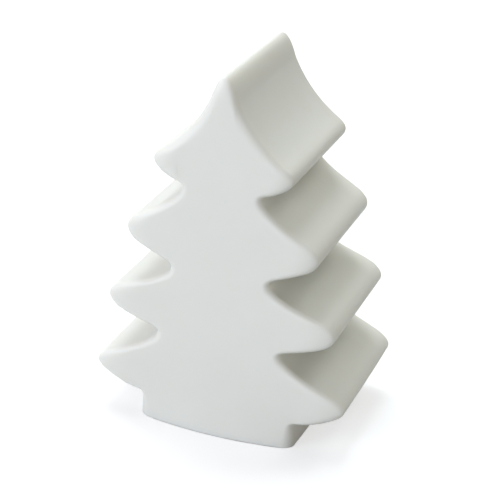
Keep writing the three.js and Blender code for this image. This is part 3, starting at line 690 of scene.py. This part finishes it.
def linked(name: str, data: bpy.types.ID) -> bpy.types.Object:
    """Make an object of its data, and link it to the scene."""
    made = bpy.data.objects.new(name, data)
    bpy.context.scene.collection.objects.link(made)
    return made


def scratch_object(name: str, bm: bmesh.types.BMesh) -> bpy.types.Object:
    """Put a bmesh into a linked object and free it.

    Args:
        name: Name of the object.
        bm: The mesh, in millimetres.

    Returns:
        The object.
    """
    mesh = bpy.data.meshes.new(name)
    bm.to_mesh(mesh)
    bm.free()
    return linked(name, mesh)


def combined(
    name: str,
    body: bmesh.types.BMesh,
    tool: bmesh.types.BMesh,
    how: Join,
    solver: Solver = Solver.MANIFOLD,
) -> bmesh.types.BMesh:
    """Cut one closed solid out of another, or join the two.

    Args:
        name: Name used while the two are objects.
        body: The solid that is kept.
        tool: The solid that cuts it or is added.
        how: Whether the tool is cut away, added, or the common part kept.
        solver: MANIFOLD suits parts with faces in one plane, EXACT keeps large faces whole.

    Returns:
        The resulting solid. Both of the others are freed.
    """
    kept = scratch_object(name, body)
    cutter = scratch_object(name + "_tool", tool)
    boolean = kept.modifiers.new(name, "BOOLEAN")
    boolean.object = cutter
    boolean.operation = how.value
    boolean.solver = solver.value
    graph = bpy.context.evaluated_depsgraph_get()
    result = bmesh.new()
    result.from_mesh(kept.evaluated_get(graph).to_mesh())
    kept.evaluated_get(graph).to_mesh_clear()
    for scratch in (kept, cutter):
        mesh = scratch.data
        bpy.data.objects.remove(scratch)
        bpy.data.meshes.remove(mesh)
    return result


def rounded_plate(
    corners: list[tuple[float, float, float]], low: float, high: float
) -> bmesh.types.BMesh:
    """Extrude an outline with rounded corners.

    Args:
        corners: Place and rounding of each corner, in order round the outline.
        low: Height of its underside.
        high: Height of its top.

    Returns:
        The closed plate.
    """
    bm = bmesh.new()
    verts = [bm.verts.new((x, y, low)) for x, y, _ in corners]
    bm.faces.new(verts)
    for vert, (_, _, rounding) in zip(verts, corners):
        if rounding:
            bmesh.ops.bevel(
                bm,
                geom=[vert],
                offset=rounding,
                segments=10,
                profile=0.5,
                affect="VERTICES",
                material=-1,
            )
    raised = bmesh.ops.extrude_face_region(bm, geom=bm.faces[:])["geom"]
    moved = [item for item in raised if isinstance(item, bmesh.types.BMVert)]
    bmesh.ops.translate(bm, verts=moved, vec=(0.0, 0.0, high - low))
    return closed(bm, WELD)


def around(middle: float, half: float) -> tuple[float, float]:
    """Give the two ends of a length from its middle and its half."""
    return middle - half, middle + half


def block(
    x: tuple[float, float],
    y: tuple[float, float],
    z: tuple[float, float],
    rounding: float = 0.0,
) -> bmesh.types.BMesh:
    """Make a block, with its upright edges rounded.

    Args:
        x: Its two ends along X.
        y: Its two ends along Y.
        z: Its two ends along Z.
        rounding: Radius of its upright edges.

    Returns:
        The closed block.
    """
    ring = [(x[0], y[0]), (x[1], y[0]), (x[1], y[1]), (x[0], y[1])]
    return rounded_plate([(across, along, rounding) for across, along in ring], z[0], z[1])


def rod(
    radius: float, low: float, high: float, centre: tuple[float, float], steps: int = 48
) -> bmesh.types.BMesh:
    """Make an upright rod, with its radius, ends, centre and number of steps."""
    return spun([(0.0, low), (radius, low), (radius, high), (0.0, high)], steps, centre)


def soften(
    bm: bmesh.types.BMesh,
    height: float,
    offset: float,
    least_radius: float = 0.0,
    segments: int = 4,
) -> None:
    """Round the sharp edges of a solid that lie at one height.

    Args:
        bm: The solid.
        height: Height of the edges.
        offset: Size of the rounding.
        least_radius: Edges nearer to the module's axis than this stay sharp.
        segments: How finely the edges are rounded.
    """
    picked = [
        edge
        for edge in bm.edges
        if all(abs(vert.co.z - height) < LEVEL_GAP for vert in edge.verts)
        and all(vert.co.xy.length >= least_radius for vert in edge.verts)
        and edge.calc_face_angle(0.0) > CREASE
    ]
    bmesh.ops.bevel(
        bm,
        geom=picked,
        offset=offset,
        segments=segments,
        profile=0.5,
        affect="EDGES",
        material=-1,
    )


def together(*parts: bmesh.types.BMesh) -> bmesh.types.BMesh:
    """Put solids that stand apart into one bmesh, and free them."""
    whole = bmesh.new()
    for part in parts:
        mesh = bpy.data.meshes.new("part")
        part.to_mesh(mesh)
        part.free()
        whole.from_mesh(mesh)
        bpy.data.meshes.remove(mesh)
    return whole


def lettering(
    words: str, centre: tuple[float, float], size: float, z: tuple[float, float]
) -> bmesh.types.BMesh:
    """Mould raised letters that are read from below.

    Args:
        words: What they say.
        centre: Middle of the line.
        size: Letter size.
        z: Lowest and highest ends of the letters.

    Returns:
        The letters as closed solids.
    """
    curve = bpy.data.curves.new(words, "FONT")
    curve.body = words
    curve.size = size
    curve.extrude = (z[1] - z[0]) / 2
    curve.align_x = "CENTER"
    curve.align_y = "CENTER"
    text = linked(words, curve)
    seen = text.evaluated_get(bpy.context.evaluated_depsgraph_get())
    bm = bmesh.new()
    bm.from_mesh(seen.to_mesh())
    seen.to_mesh_clear()
    bpy.data.objects.remove(text)
    bpy.data.curves.remove(curve)
    turn = Matrix.Rotation(math.pi, 4, "X")
    shift = Matrix.Translation((centre[0], centre[1], (z[0] + z[1]) / 2))
    bmesh.ops.transform(bm, matrix=shift @ turn, verts=bm.verts)
    return closed(bm, WELD)


@dataclass(frozen=True)
class DoorOutline:
    """Outline of the battery door: a rounded rectangle with an ear for its screw."""

    half_width: float = 10.9
    near: float = -8.0
    far: float = 5.6
    corner: float = 2.0
    ear: float = 2.6
    ear_y: float = -10.2
    fillet: float = 1.0

    def plate(self, grow: float, low: float, high: float) -> bmesh.types.BMesh:
        """Extrude the outline, grown on all sides.

        Args:
            grow: How far it is grown.
            low: Height of its underside.
            high: Height of its top.

        Returns:
            The closed plate.
        """
        x, ear = self.half_width + grow, self.ear + grow
        near, far, tip = self.near - grow, self.far + grow, self.ear_y - self.ear - grow
        corner, fillet, end = self.corner + grow, self.fillet - grow, ear
        return rounded_plate(
            [
                (-x, far, corner),
                (-x, near, corner),
                (-ear, near, fillet),
                (-ear, tip, end),
                (ear, tip, end),
                (ear, near, fillet),
                (x, near, corner),
                (x, far, corner),
            ],
            low,
            high,
        )


@dataclass
class ModuleHousing:
    """The moulded housing of the light module: barrel, bead groove, trough, bosses, pockets."""

    underside: float = 0.5
    flange_radius: float = 14.07
    flange_edge: float = 0.4
    groove_radius: float = 12.77
    groove: tuple[float, float] = (2.6, 5.2)
    barrel_radius: float = 13.57
    top: float = 15.8
    floor_top: float = 2.9
    groove_bore: float = 11.67
    barrel_bore: float = 12.47
    bore_slope: float = 1.1
    steps: int = 144
    trough_half: float = 10.1
    trough_y: tuple[float, float] = (-7.2, 4.8)
    trough_slant: float = 0.6
    trough_wall: float = 1.0
    ceiling: tuple[float, float] = (13.8, 14.6)
    ceiling_cut: float = 13.6
    recess_top: float = 1.9
    recess_gap: float = 0.2
    boss_radius: float = 2.0
    boss_y: float = 10.2
    boss_foot: float = 10.6
    boss_floor: float = 1.0
    web_half: float = 0.6
    pilot: float = 1.1
    pilot_top: float = 7.8
    switch_y: float = 8.1
    pocket_half: tuple[float, float] = (4.0, 1.7)
    pocket_top: float = 1.7
    pocket_corner: float = 1.2
    pocket_edge: float = 0.45
    slot_half: tuple[float, float] = (2.3, 1.1)
    slot_corner: float = 0.35
    leads_half: tuple[float, float] = (1.87, 0.6)
    tab_x: tuple[float, float] = (9.4, 10.1)
    tab_y: float = -1.2
    tab_half: float = 1.3
    words: tuple[tuple[str, float], ...] = (("ON", 6.4), ("OFF", -6.7))
    letter_size: float = 2.0
    letter_relief: float = 0.15
    letter_root: float = 0.2

    def trough(self, grow: float, low: float, high: float) -> bmesh.types.BMesh:
        """Extrude the outline of the cells' trough, grown on all sides."""
        x, slant = self.trough_half + grow, self.trough_slant
        near, far = self.trough_y[0] - grow, self.trough_y[1] + grow
        ring = [(-x + slant, near), (x - slant, near), (x, near + slant)]
        ring += [(x, far), (-x, far), (-x, near + slant)]
        return rounded_plate([(across, along, 0.0) for across, along in ring], low, high)

    def outside(self) -> bmesh.types.BMesh:
        """Spin the outside, with its flange, its groove for the bead and its barrel."""
        body = spun(
            [
                (0.0, self.underside),
                (self.flange_radius, self.underside),
                (self.flange_radius, self.groove[0]),
                (self.groove_radius, self.groove[0]),
                (self.groove_radius, self.groove[1]),
                (self.barrel_radius, self.groove[1]),
                (self.barrel_radius, self.top),
                (0.0, self.top),
            ],
            self.steps,
        )
        soften(body, self.underside, self.flange_edge, self.barrel_radius)
        return body

    def inside(self) -> bmesh.types.BMesh:
        """Spin the space inside the barrel."""
        return spun(
            [
                (0.0, self.floor_top),
                (self.groove_bore, self.floor_top),
                (self.groove_bore, self.groove[1]),
                (self.barrel_bore, self.groove[1] + self.bore_slope),
                (self.barrel_bore, self.top + PAST),
                (0.0, self.top + PAST),
            ],
            self.steps,
        )

    def cavities(self) -> bmesh.types.BMesh:
        """Make the trough, the pilot holes and the thumb pocket as solids to cut away."""
        wide, deep = self.pocket_half
        pocket = block(
            around(0.0, wide),
            around(self.switch_y, deep),
            (-PAST, self.pocket_top),
            self.pocket_corner,
        )
        soften(pocket, self.pocket_top, self.pocket_edge)
        top = self.top + PAST
        return together(
            self.trough(0.0, self.recess_top - PAST, self.ceiling[0]),
            rod(self.pilot, -PAST, self.pilot_top, (0.0, -self.boss_y)),
            rod(self.pilot, self.boss_foot + self.boss_floor, top, (0.0, -self.boss_y)),
            rod(self.pilot, self.boss_foot - PAST, top, (0.0, self.boss_y)),
            pocket,
        )

    def openings(self) -> bmesh.types.BMesh:
        """Make the door's recess and the slots for lever, leads and tabs as solids."""
        through = (self.ceiling_cut, self.top + PAST)
        slot_x, slot_y = self.slot_half
        leads_x, leads_y = self.leads_half
        near, far = self.tab_x
        tab = around(self.tab_y, self.tab_half)
        floor = (0.0, self.floor_top + PAST)
        return together(
            DoorOutline().plate(self.recess_gap, -PAST, self.recess_top),
            block(around(0.0, slot_x), around(self.switch_y, slot_y), floor, self.slot_corner),
            block(around(0.0, leads_x), around(0.0, leads_y), through),
            block((near, far), tab, through),
            block((-far, -near), tab, through),
        )

    def build(self) -> bmesh.types.BMesh:
        """Build the housing.

        Returns:
            The housing, in millimetres.
        """
        far_wall = self.barrel_bore + OVERLAP
        web = around(0.0, self.web_half)
        low, roof = self.recess_top + OVERLAP, self.ceiling[1]
        near, far = self.trough_y[0] - self.trough_wall / 2, self.trough_y[1] + self.trough_wall / 2
        body = combined("housing", self.outside(), self.inside(), Join.CUT)
        walls = self.trough(self.trough_wall, low, roof)
        fitted = rod(far_wall, low - PAST, roof + PAST, (0.0, 0.0), self.steps)
        for part in (
            combined("walls", walls, fitted, Join.COMMON),
            rod(self.boss_radius, low, roof, (0.0, -self.boss_y)),
            rod(self.boss_radius, self.boss_foot, roof, (0.0, self.boss_y)),
            block(web, (-far_wall, near), (low, roof)),
            block(web, (far, far_wall), (self.boss_foot, roof)),
        ):
            body = combined("housing", body, part, Join.UNITE)
        for part in (self.cavities(), self.openings()):
            body = combined("housing", body, part, Join.CUT)
        heights = (self.underside - self.letter_relief, self.underside + self.letter_root)
        for words, x in self.words:
            letters = lettering(words, (x, self.switch_y), self.letter_size, heights)
            body = combined("housing", body, letters, Join.UNITE)
        return body


@dataclass
class BatteryDoor:
    """The door over the cells, with tongues that locate it and a countersunk hole."""

    underside: float = 0.5
    top: float = 1.7
    edge: float = 0.25
    panel_depth: float = 0.2
    panel_margin: float = 1.3
    panel_corner: float = 1.0
    panel_edge: float = 0.12
    tongue_x: float = 6.0
    tongue_half: float = 1.5
    tongue_faces: tuple[tuple[float, float], ...] = ((-7.0, -6.4), (4.0, 4.6))
    tongue_top: float = 4.3
    tongue_root: float = 0.6
    tongue_edge: float = 0.2
    hole: float = 1.1
    head: float = 1.9
    countersink: float = 1.1
    steps: int = 64

    def build(self) -> bmesh.types.BMesh:
        """Build the door.

        Returns:
            The door, in millimetres.
        """
        outline = DoorOutline()
        door = outline.plate(0.0, self.underside, self.top)
        soften(door, self.underside, self.edge)
        for x in (-self.tongue_x, self.tongue_x):
            for faces in self.tongue_faces:
                up = (self.top - self.tongue_root, self.tongue_top)
                tongue = block(around(x, self.tongue_half), faces, up)
                soften(tongue, self.tongue_top, self.tongue_edge)
                door = combined("door", door, tongue, Join.UNITE)
        sink = spun(
            [
                (0.0, self.underside - PAST),
                (self.head + PAST, self.underside - PAST),
                (self.head, self.underside),
                (self.hole, self.underside + self.countersink),
                (self.hole, self.top + PAST),
                (0.0, self.top + PAST),
            ],
            self.steps,
            (0.0, outline.ear_y),
        )
        margin, panel_top = self.panel_margin, self.underside + self.panel_depth
        panel = block(
            around(0.0, outline.half_width - margin),
            (outline.near + margin, outline.far - margin),
            (self.underside - PAST, panel_top),
            self.panel_corner,
        )
        soften(panel, panel_top, self.panel_edge)
        return combined("door", door, together(sink, panel), Join.CUT)


@dataclass
class DoorScrew:
    """A small countersunk screw with a cross recess and a coarse thread for plastic."""

    place: tuple[float, float] = (0.0, -10.2)
    # Radii and heights: the head with its broken rim, the countersink, the core, a blunt tip.
    profile: tuple[tuple[float, float], ...] = (
        (0.0, 0.5),
        (1.66, 0.5),
        (1.76, 0.55),
        (1.74, 0.62),
        (1.0, 1.42),
        (0.75, 1.75),
        (0.75, 5.8),
        (0.25, 6.44),
        (0.0, 6.5),
    )
    profile_steps: int = 64
    thread_root: float = 0.65
    thread_crest: float = 1.0
    thread_start: float = 2.1
    root_half: float = 0.288
    crest_half: float = 0.05
    pitch: float = 0.8
    turns: int = 4
    steps: int = 24
    head_face: float = 0.5
    drive_reach: float = 1.1
    drive_half: float = 0.3
    drive_depth: float = 0.6
    drive_lead: float = 0.5
    drive_taper: float = 0.72

    def thread(self) -> bmesh.types.BMesh:
        """Sweep the thread's ridge up the core.

        Returns:
            The ridge as a closed solid.
        """
        root, crest = self.thread_root, self.thread_crest
        section = [
            (root, -self.root_half),
            (crest, -self.crest_half),
            (crest, self.crest_half),
            (root, self.root_half),
        ]
        bm = bmesh.new()
        verts = [bm.verts.new((out, 0.0, self.thread_start + up)) for out, up in section]
        edges = [bm.edges.new(pair) for pair in zip(verts, verts[1:] + verts[:1])]
        bmesh.ops.spin(
            bm,
            geom=verts + edges,
            cent=(0.0, 0.0, 0.0),
            axis=(0.0, 0.0, 1.0),
            dvec=(0.0, 0.0, self.pitch / self.steps),
            angle=2 * math.pi * self.turns,
            steps=self.steps * self.turns,
            use_merge=False,
            use_duplicate=False,
        )
        bmesh.ops.holes_fill(bm, edges=bm.edges, sides=len(section))
        bmesh.ops.recalc_face_normals(bm, faces=bm.faces)
        bmesh.ops.translate(bm, verts=bm.verts, vec=(self.place[0], self.place[1], 0.0))
        return bm

    def drive(self) -> bmesh.types.BMesh:
        """Make the cross recess as a solid that narrows inwards.

        Returns:
            The solid to cut away.
        """
        low, high = self.head_face - self.drive_lead, self.head_face + self.drive_depth
        long, short = around(0.0, self.drive_reach), around(0.0, self.drive_half)
        across, along = block(long, short, (low, high)), block(short, long, (low, high))
        cross = combined("drive", across, along, Join.UNITE)
        for vert in cross.verts:
            if vert.co.z > self.head_face:
                vert.co.xy *= self.drive_taper
        bmesh.ops.translate(cross, verts=cross.verts, vec=(self.place[0], self.place[1], 0.0))
        return cross

    def build(self) -> bmesh.types.BMesh:
        """Build the screw.

        Returns:
            The screw, in millimetres.
        """
        body = spun(self.profile, self.profile_steps, self.place)
        body = combined("screw", body, self.thread(), Join.UNITE)
        return combined("screw", body, self.drive(), Join.CUT)


@dataclass
class SwitchKnob:
    """The slide switch's lever at its off end, with a ribbed thumb face."""

    middle: float = -1.0
    y: float = 8.1
    half_length: float = 1.0
    half_depth: float = 0.8
    face: float = 0.8
    stem_top: float = 4.15
    corner: float = 0.2
    edge: float = 0.12
    groove_pitch: float = 0.4
    grooves: int = 4
    groove_depth: float = 0.16
    groove_length: float = 3.2
    slider_half: tuple[float, float] = (1.7, 1.3)
    slider: tuple[float, float] = (3.4, 4.9)
    slider_corner: float = 0.25

    def groove(self, index: int) -> bmesh.types.BMesh:
        """Make a turned bar as long as the thumb face is deep, to cut one groove with."""
        place = self.middle + (index - (self.grooves - 1) / 2) * self.groove_pitch
        side = self.groove_depth * math.sqrt(2)
        shape = (
            Matrix.Translation((place, self.y, self.face))
            @ Matrix.Rotation(math.pi / 4, 4, "Y")
            @ Matrix.Diagonal((side, self.groove_length, side, 1.0))
        )
        bar = bmesh.new()
        bmesh.ops.create_cube(bar, size=1.0)
        bmesh.ops.transform(bar, matrix=shape, verts=bar.verts)
        return bar

    def build(self) -> bmesh.types.BMesh:
        """Build the lever.

        Returns:
            The lever and its slider, in millimetres.
        """
        across, along = around(self.middle, self.half_length), around(self.y, self.half_depth)
        stem = block(across, along, (self.face, self.stem_top), self.corner)
        soften(stem, self.face, self.edge)
        bars = together(*(self.groove(index) for index in range(self.grooves)))
        stem = combined("knob", stem, bars, Join.CUT)
        across, along = [
            around(place, half) for place, half in zip((self.middle, self.y), self.slider_half)
        ]
        slider = block(across, along, self.slider, self.slider_corner)
        return combined("knob", stem, slider, Join.UNITE)


@dataclass
class ButtonCell:
    """A button cell that lies on its side: a rolled can, and a cap inside its crimp."""

    index: int
    stack_start: float = -6.8
    pitch: float = 5.5
    axis_y: float = -1.2
    axis_z: float = 7.8
    # Radii and heights: the cap, the groove of its seal, the crimp, the can and its back.
    profile: tuple[tuple[float, float], ...] = (
        (0.0, 0.06),
        (3.5, 0.06),
        (3.7, 0.0),
        (4.35, 0.0),
        (4.62, 0.12),
        (4.7, 0.35),
        (4.7, 0.72),
        (4.95, 0.72),
        (5.1, 0.52),
        (5.45, 0.5),
        (5.7, 0.6),
        (5.8, 0.85),
        (5.8, 5.05),
        (5.7, 5.3),
        (5.45, 5.4),
        (4.6, 5.4),
        (4.4, 5.34),
        (0.0, 5.34),
    )
    steps: int = 96

    def build(self) -> bmesh.types.BMesh:
        """Build the cell, its cap towards the spring.

        Returns:
            The cell, in millimetres.
        """
        bm = spun(self.profile, self.steps)
        start = self.stack_start + self.index * self.pitch
        place = Matrix.Translation((start, self.axis_y, self.axis_z))
        bmesh.ops.transform(bm, matrix=place @ Matrix.Rotation(math.pi / 2, 4, "Y"), verts=bm.verts)
        return bm


@dataclass(frozen=True)
class Piece:
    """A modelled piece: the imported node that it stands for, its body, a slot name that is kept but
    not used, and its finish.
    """

    name: str
    node: str
    make: Callable[[], bmesh.types.BMesh]
    body: Body
    slot: str
    material: bpy.types.Material

    def build(self) -> None:
        """Build the piece, scale it to metres, and put it in its node's place."""
        bm = self.make()
        bmesh.ops.scale(bm, verts=bm.verts, vec=(MM, MM, MM))
        for face in bm.faces:
            face.smooth = True
        piece = scratch_object(self.name, bm)
        piece.data.set_sharp_from_angle(angle=CRISP)
        piece.data.materials.append(self.material)
        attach(piece, self.body.value)
        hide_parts(self.node)
        LOG.info("made %s, %d faces", self.name, len(piece.data.polygons))


@dataclass
class Camera:
    """The photograph's viewpoint."""

    azimuth: float = 20.52
    elevation: float = 25.47
    roll: float = 1.94
    distance: float = 304.2
    target: tuple[float, float, float] = (0.22, 0.0, 32.85)
    focal_px: float = 1538.4
    frame_px: float = 500.0
    sensor_mm: float = 36.0

    def build(self) -> bpy.types.Object:
        """Place the camera and make it the scene's own.

        Returns:
            The camera object.
        """
        data = bpy.data.cameras.new("camera")
        data.sensor_width = self.sensor_mm
        data.lens = self.sensor_mm * self.focal_px / self.frame_px
        camera = linked("camera", data)
        pitch, heading = math.radians(90 - self.elevation), math.radians(self.azimuth)
        turn = Euler((pitch, 0.0, heading), "XYZ").to_matrix()
        tilt = Matrix.Rotation(math.radians(self.roll), 3, "Z")
        facing = turn @ tilt
        back = facing @ Vector((0.0, 0.0, 1.0))
        place = Vector(self.target) * MM + back * self.distance * MM
        camera.matrix_world = Matrix.Translation(place) @ facing.to_4x4()
        bpy.context.scene.camera = camera
        return camera


@dataclass(frozen=True)
class Lamp:
    """A soft square lamp on a sphere round the tree, facing its middle.

    The bearing turns from the front face to the tree's right, in degrees.
    """

    name: str
    bearing: float
    height: float
    power: float
    colour: str = "ffffff"
    size: float = 0.6
    distance: float = 1.3
    aim_height: float = 0.035

    def build(self) -> None:
        """Place the lamp."""
        data = bpy.data.lights.new(self.name, "AREA")
        data.size = self.size
        data.energy = self.power
        data.color = linear(self.colour)[:3]
        lamp = linked(self.name, data)
        turn = math.radians(self.bearing)
        rise = math.radians(self.height)
        out = math.cos(rise)
        away = Vector((math.sin(turn) * out, -math.cos(turn) * out, math.sin(rise)))
        place = Vector((0.0, 0.0, self.aim_height)) + away * self.distance
        facing = (-away).to_track_quat("-Z", "Y").to_matrix().to_4x4()
        lamp.matrix_world = Matrix.Translation(place) @ facing


@dataclass
class Studio:
    """A plain white table and surround, with soft lamps."""

    floor_size: float = 6.0
    floor_colour: str = "c4c6c6"
    bounce_colour: str = "a6a6a4"
    floor_lift: float = 0.575
    surround: str = "ffffff"
    # The lamps alone light the tree: their strengths were matched to the photograph without it.
    surround_strength: float = 0.0
    lamps: list[Lamp] = field(
        default_factory=lambda: [
            Lamp("window", -45.0, 15.0, 10.9, "edf0ff"),
            Lamp("front", 0.0, 15.0, 6.6, "eaf0ff"),
            Lamp("front_right", 20.0, 35.0, 1.8, "fff4e5"),
            Lamp("left", -115.0, 45.0, 3.8, "fffafa"),
            Lamp("overhead", -150.0, 70.0, 9.2, "eef6ff"),
            Lamp("back_left", -150.0, 45.0, 1.3, "f7fbff"),
            Lamp("back_right", 150.0, 45.0, 4.8, "fbfffb"),
            Lamp("warm_right", 95.0, 15.0, 1.5, "fff0e0"),
        ]
    )

    @staticmethod
    def shown(tree: bpy.types.NodeTree) -> bpy.types.NodeSocket:
        """Pick out the rays that show the surround itself: seen, mirrored or through glass.

        Args:
            tree: Node tree that gets the nodes.

        Returns:
            An output that is 1 for such a ray and 0 for one that only lights the object.
        """
        rays = add_node(tree, "ShaderNodeLightPath").outputs
        seen = rays["Is Camera Ray"]
        for name in ("Is Glossy Ray", "Is Transmission Ray"):
            links = {0: seen, 1: rays[name]}
            seen = add_node(tree, "ShaderNodeMath", {"operation": "MAXIMUM"}, links=links).outputs[0]
        return seen

    def world(self) -> None:
        """Show plain white where the surround is seen, and light the tree by its strength."""
        world = bpy.data.worlds.new("surround")
        tree = emptied(world)
        soft = add_node(
            tree,
            "ShaderNodeBackground",
            inputs={"Color": linear(self.surround), "Strength": self.surround_strength},
        )
        white = add_node(tree, "ShaderNodeBackground", inputs={"Color": (1.0, 1.0, 1.0, 1.0)})
        choice = add_node(
            tree,
            "ShaderNodeMixShader",
            links={0: self.shown(tree), 1: soft.outputs[0], 2: white.outputs[0]},
        )
        add_node(tree, "ShaderNodeOutputWorld", links={"Surface": choice.outputs[0]})
        bpy.context.scene.world = world

    def floor(self) -> None:
        """Lay the white table top, lifted to plain white where it is lit and seen."""
        bm = bmesh.new()
        bmesh.ops.create_grid(bm, x_segments=4, y_segments=4, size=self.floor_size / 2)
        floor = scratch_object("table_top", bm)
        material = bpy.data.materials.new("table_top")
        tree = emptied(material)
        bounce = add_node(
            tree, "ShaderNodeBsdfDiffuse", inputs={"Color": linear(self.bounce_colour)}
        )
        seen = add_node(tree, "ShaderNodeBsdfDiffuse", inputs={"Color": linear(self.floor_colour)})
        lift = add_node(tree, "ShaderNodeEmission", inputs={"Strength": self.floor_lift})
        lifted = add_node(
            tree, "ShaderNodeAddShader", links={0: seen.outputs[0], 1: lift.outputs[0]}
        )
        choice = add_node(
            tree,
            "ShaderNodeMixShader",
            links={0: self.shown(tree), 1: bounce.outputs[0], 2: lifted.outputs[0]},
        )
        add_node(tree, "ShaderNodeOutputMaterial", links={"Surface": choice.outputs[0]})
        floor.data.materials.append(material)

    def build(self) -> None:
        """Set up the table, the surround and the lamps."""
        self.world()
        self.floor()
        for lamp in self.lamps:
            lamp.build()


class Finishes:
    """The finishes of all pieces, made once."""

    def __init__(self) -> None:
        """Make every material."""
        # Slush-moulded PVC: satin, milky and faintly yellow, with almost no grain.
        self.vinyl = SoftVinyl("soft_vinyl", "dfdfd5", "dcdcd1", 0.45, grain_depth_mm=0.002).make()
        # Injection-moulded ABS: opaque warm white, evenly matt from its spark-eroded mould.
        self.housing = Finish("moulded_abs", "ecebe6", "e8e7e1", 0.42, grain_mm=0.15).make()
        # Zinc-plated steel: a cool grey whose reflections the plating's crystals blur.
        self.screw = Finish(
            "zinc_plated_steel", "b4b7ba", "a9acb1", 0.32, metallic=1.0, grain_mm=0.4
        ).make()
        # Nickel-plated, deep-drawn steel: nearly a mirror, a little wavy from the drawing.
        self.cell = Finish(
            "nickel_plated_cell", "c9cacb", "bfc0c2", 0.22, metallic=1.0, grain_mm=0.5
        ).make()
        # Nickel-plated, cold-rolled spring steel: yellower and duller than the cells.
        self.contact = Finish(
            "nickel_plated_contact", "b9b7b0", "adaba4", 0.3, metallic=1.0, grain_mm=0.2
        ).make()
        # Solder mask, a cured lacquer over copper: deep green with an even soft gloss.
        self.board = Finish("solder_mask", "1f5a33", "1b5130", 0.35, grain_mm=0.2).make()
        # Pressed phenolic paper: brown, dry and cloudy, as its fibres took up the resin.
        self.laminate = Finish("paper_laminate", "8a5a30", "7c4f29", 0.55, grain_mm=0.1).make()
        # Moulded black plastic: soft satin, greyish where light grazes it.
        self.black = Finish("moulded_black", "1e1e20", "232325", 0.45, grain_mm=0.15).make()
        # Cast epoxy with a diffuser in it: smooth and glossy outside, cloudy within.
        self.epoxy = MilkyEpoxy("milky_epoxy", "f0f0ec", "ebebe6", 0.12).make()
        # Tin-dipped wire and strip: bright silvery white with soft reflections.
        self.tin = Finish("tinned_lead", "c3c5c6", "b6b8ba", 0.25, metallic=1.0).make()
        # Extruded PVC insulation: one clear colour, smooth, with a waxy gloss.
        self.red = Finish("red_insulation", "a81f1a", "9c1b17", 0.4, grain_mm=0.2).make()
        self.black_wire = Finish("black_insulation", "17171a", "1d1d20", 0.4, grain_mm=0.2).make()

    def dress(self, nodes: dict[str, bpy.types.Object]) -> None:
        """Give every carried-over node its finish.

        Args:
            nodes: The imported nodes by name.
        """
        plan = (
            (self.housing, ("top_cover",)),
            (self.screw, ("cover_screw_1", "cover_screw_2")),
            (self.board, ("circuit_board",)),
            (self.black, ("resistor",)),
            (self.epoxy, ("led_lens",)),
            (self.contact, ("contact_spring", "spring_plate", "contact_plate", "switch_case")),
            (self.laminate, ("switch_base",)),
            (self.tin, ("led_anode_lead", "led_cathode_lead")),
            (self.tin, ("switch_terminal_1", "switch_terminal_2", "switch_terminal_3")),
            (self.red, ("wire_red",)),
            (self.black_wire, ("wire_black",)),
        )
        for material, names in plan:
            for name in names:
                nodes[name].data.materials.clear()
                nodes[name].data.materials.append(material)
                LOG.info("dressed %s", name)


def build_pieces(finishes: Finishes) -> None:
    """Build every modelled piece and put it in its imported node's place.

    Args:
        finishes: The materials.
    """
    tree, white, steel, black = Body.TREE, finishes.housing, finishes.screw, finishes.black
    pieces = [
        Piece("tree_skin", "tree_shell", TreeShell().build, tree, "vinyl", finishes.vinyl),
        Piece("module_housing", "base_housing", ModuleHousing().build, tree, "housing", white),
        Piece("cell_door", "battery_door", BatteryDoor().build, Body.DOOR, "housing", white),
        Piece("cell_door_screw", "door_screw", DoorScrew().build, Body.SCREW, "screw_steel", steel),
        Piece("switch_lever", "switch_knob", SwitchKnob().build, Body.KNOB, "black_plastic", black),
    ]
    for index in range(3):
        name, make = f"cell_{index + 1}", ButtonCell(index).build
        pieces.append(Piece(name, f"button_{name}", make, tree, "cell_steel", finishes.cell))
    for piece in pieces:
        piece.build()


def main() -> None:
    """Build the scene."""
    logging.basicConfig(level=logging.INFO, format="%(name)s: %(message)s")
    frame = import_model()
    bpy.context.scene.view_settings.view_transform = "Standard"
    Camera().build()
    Studio().build()
    finishes = Finishes()
    finishes.dress(frame["nodes"])
    build_pieces(finishes)


if __name__ == "__main__":
    main()
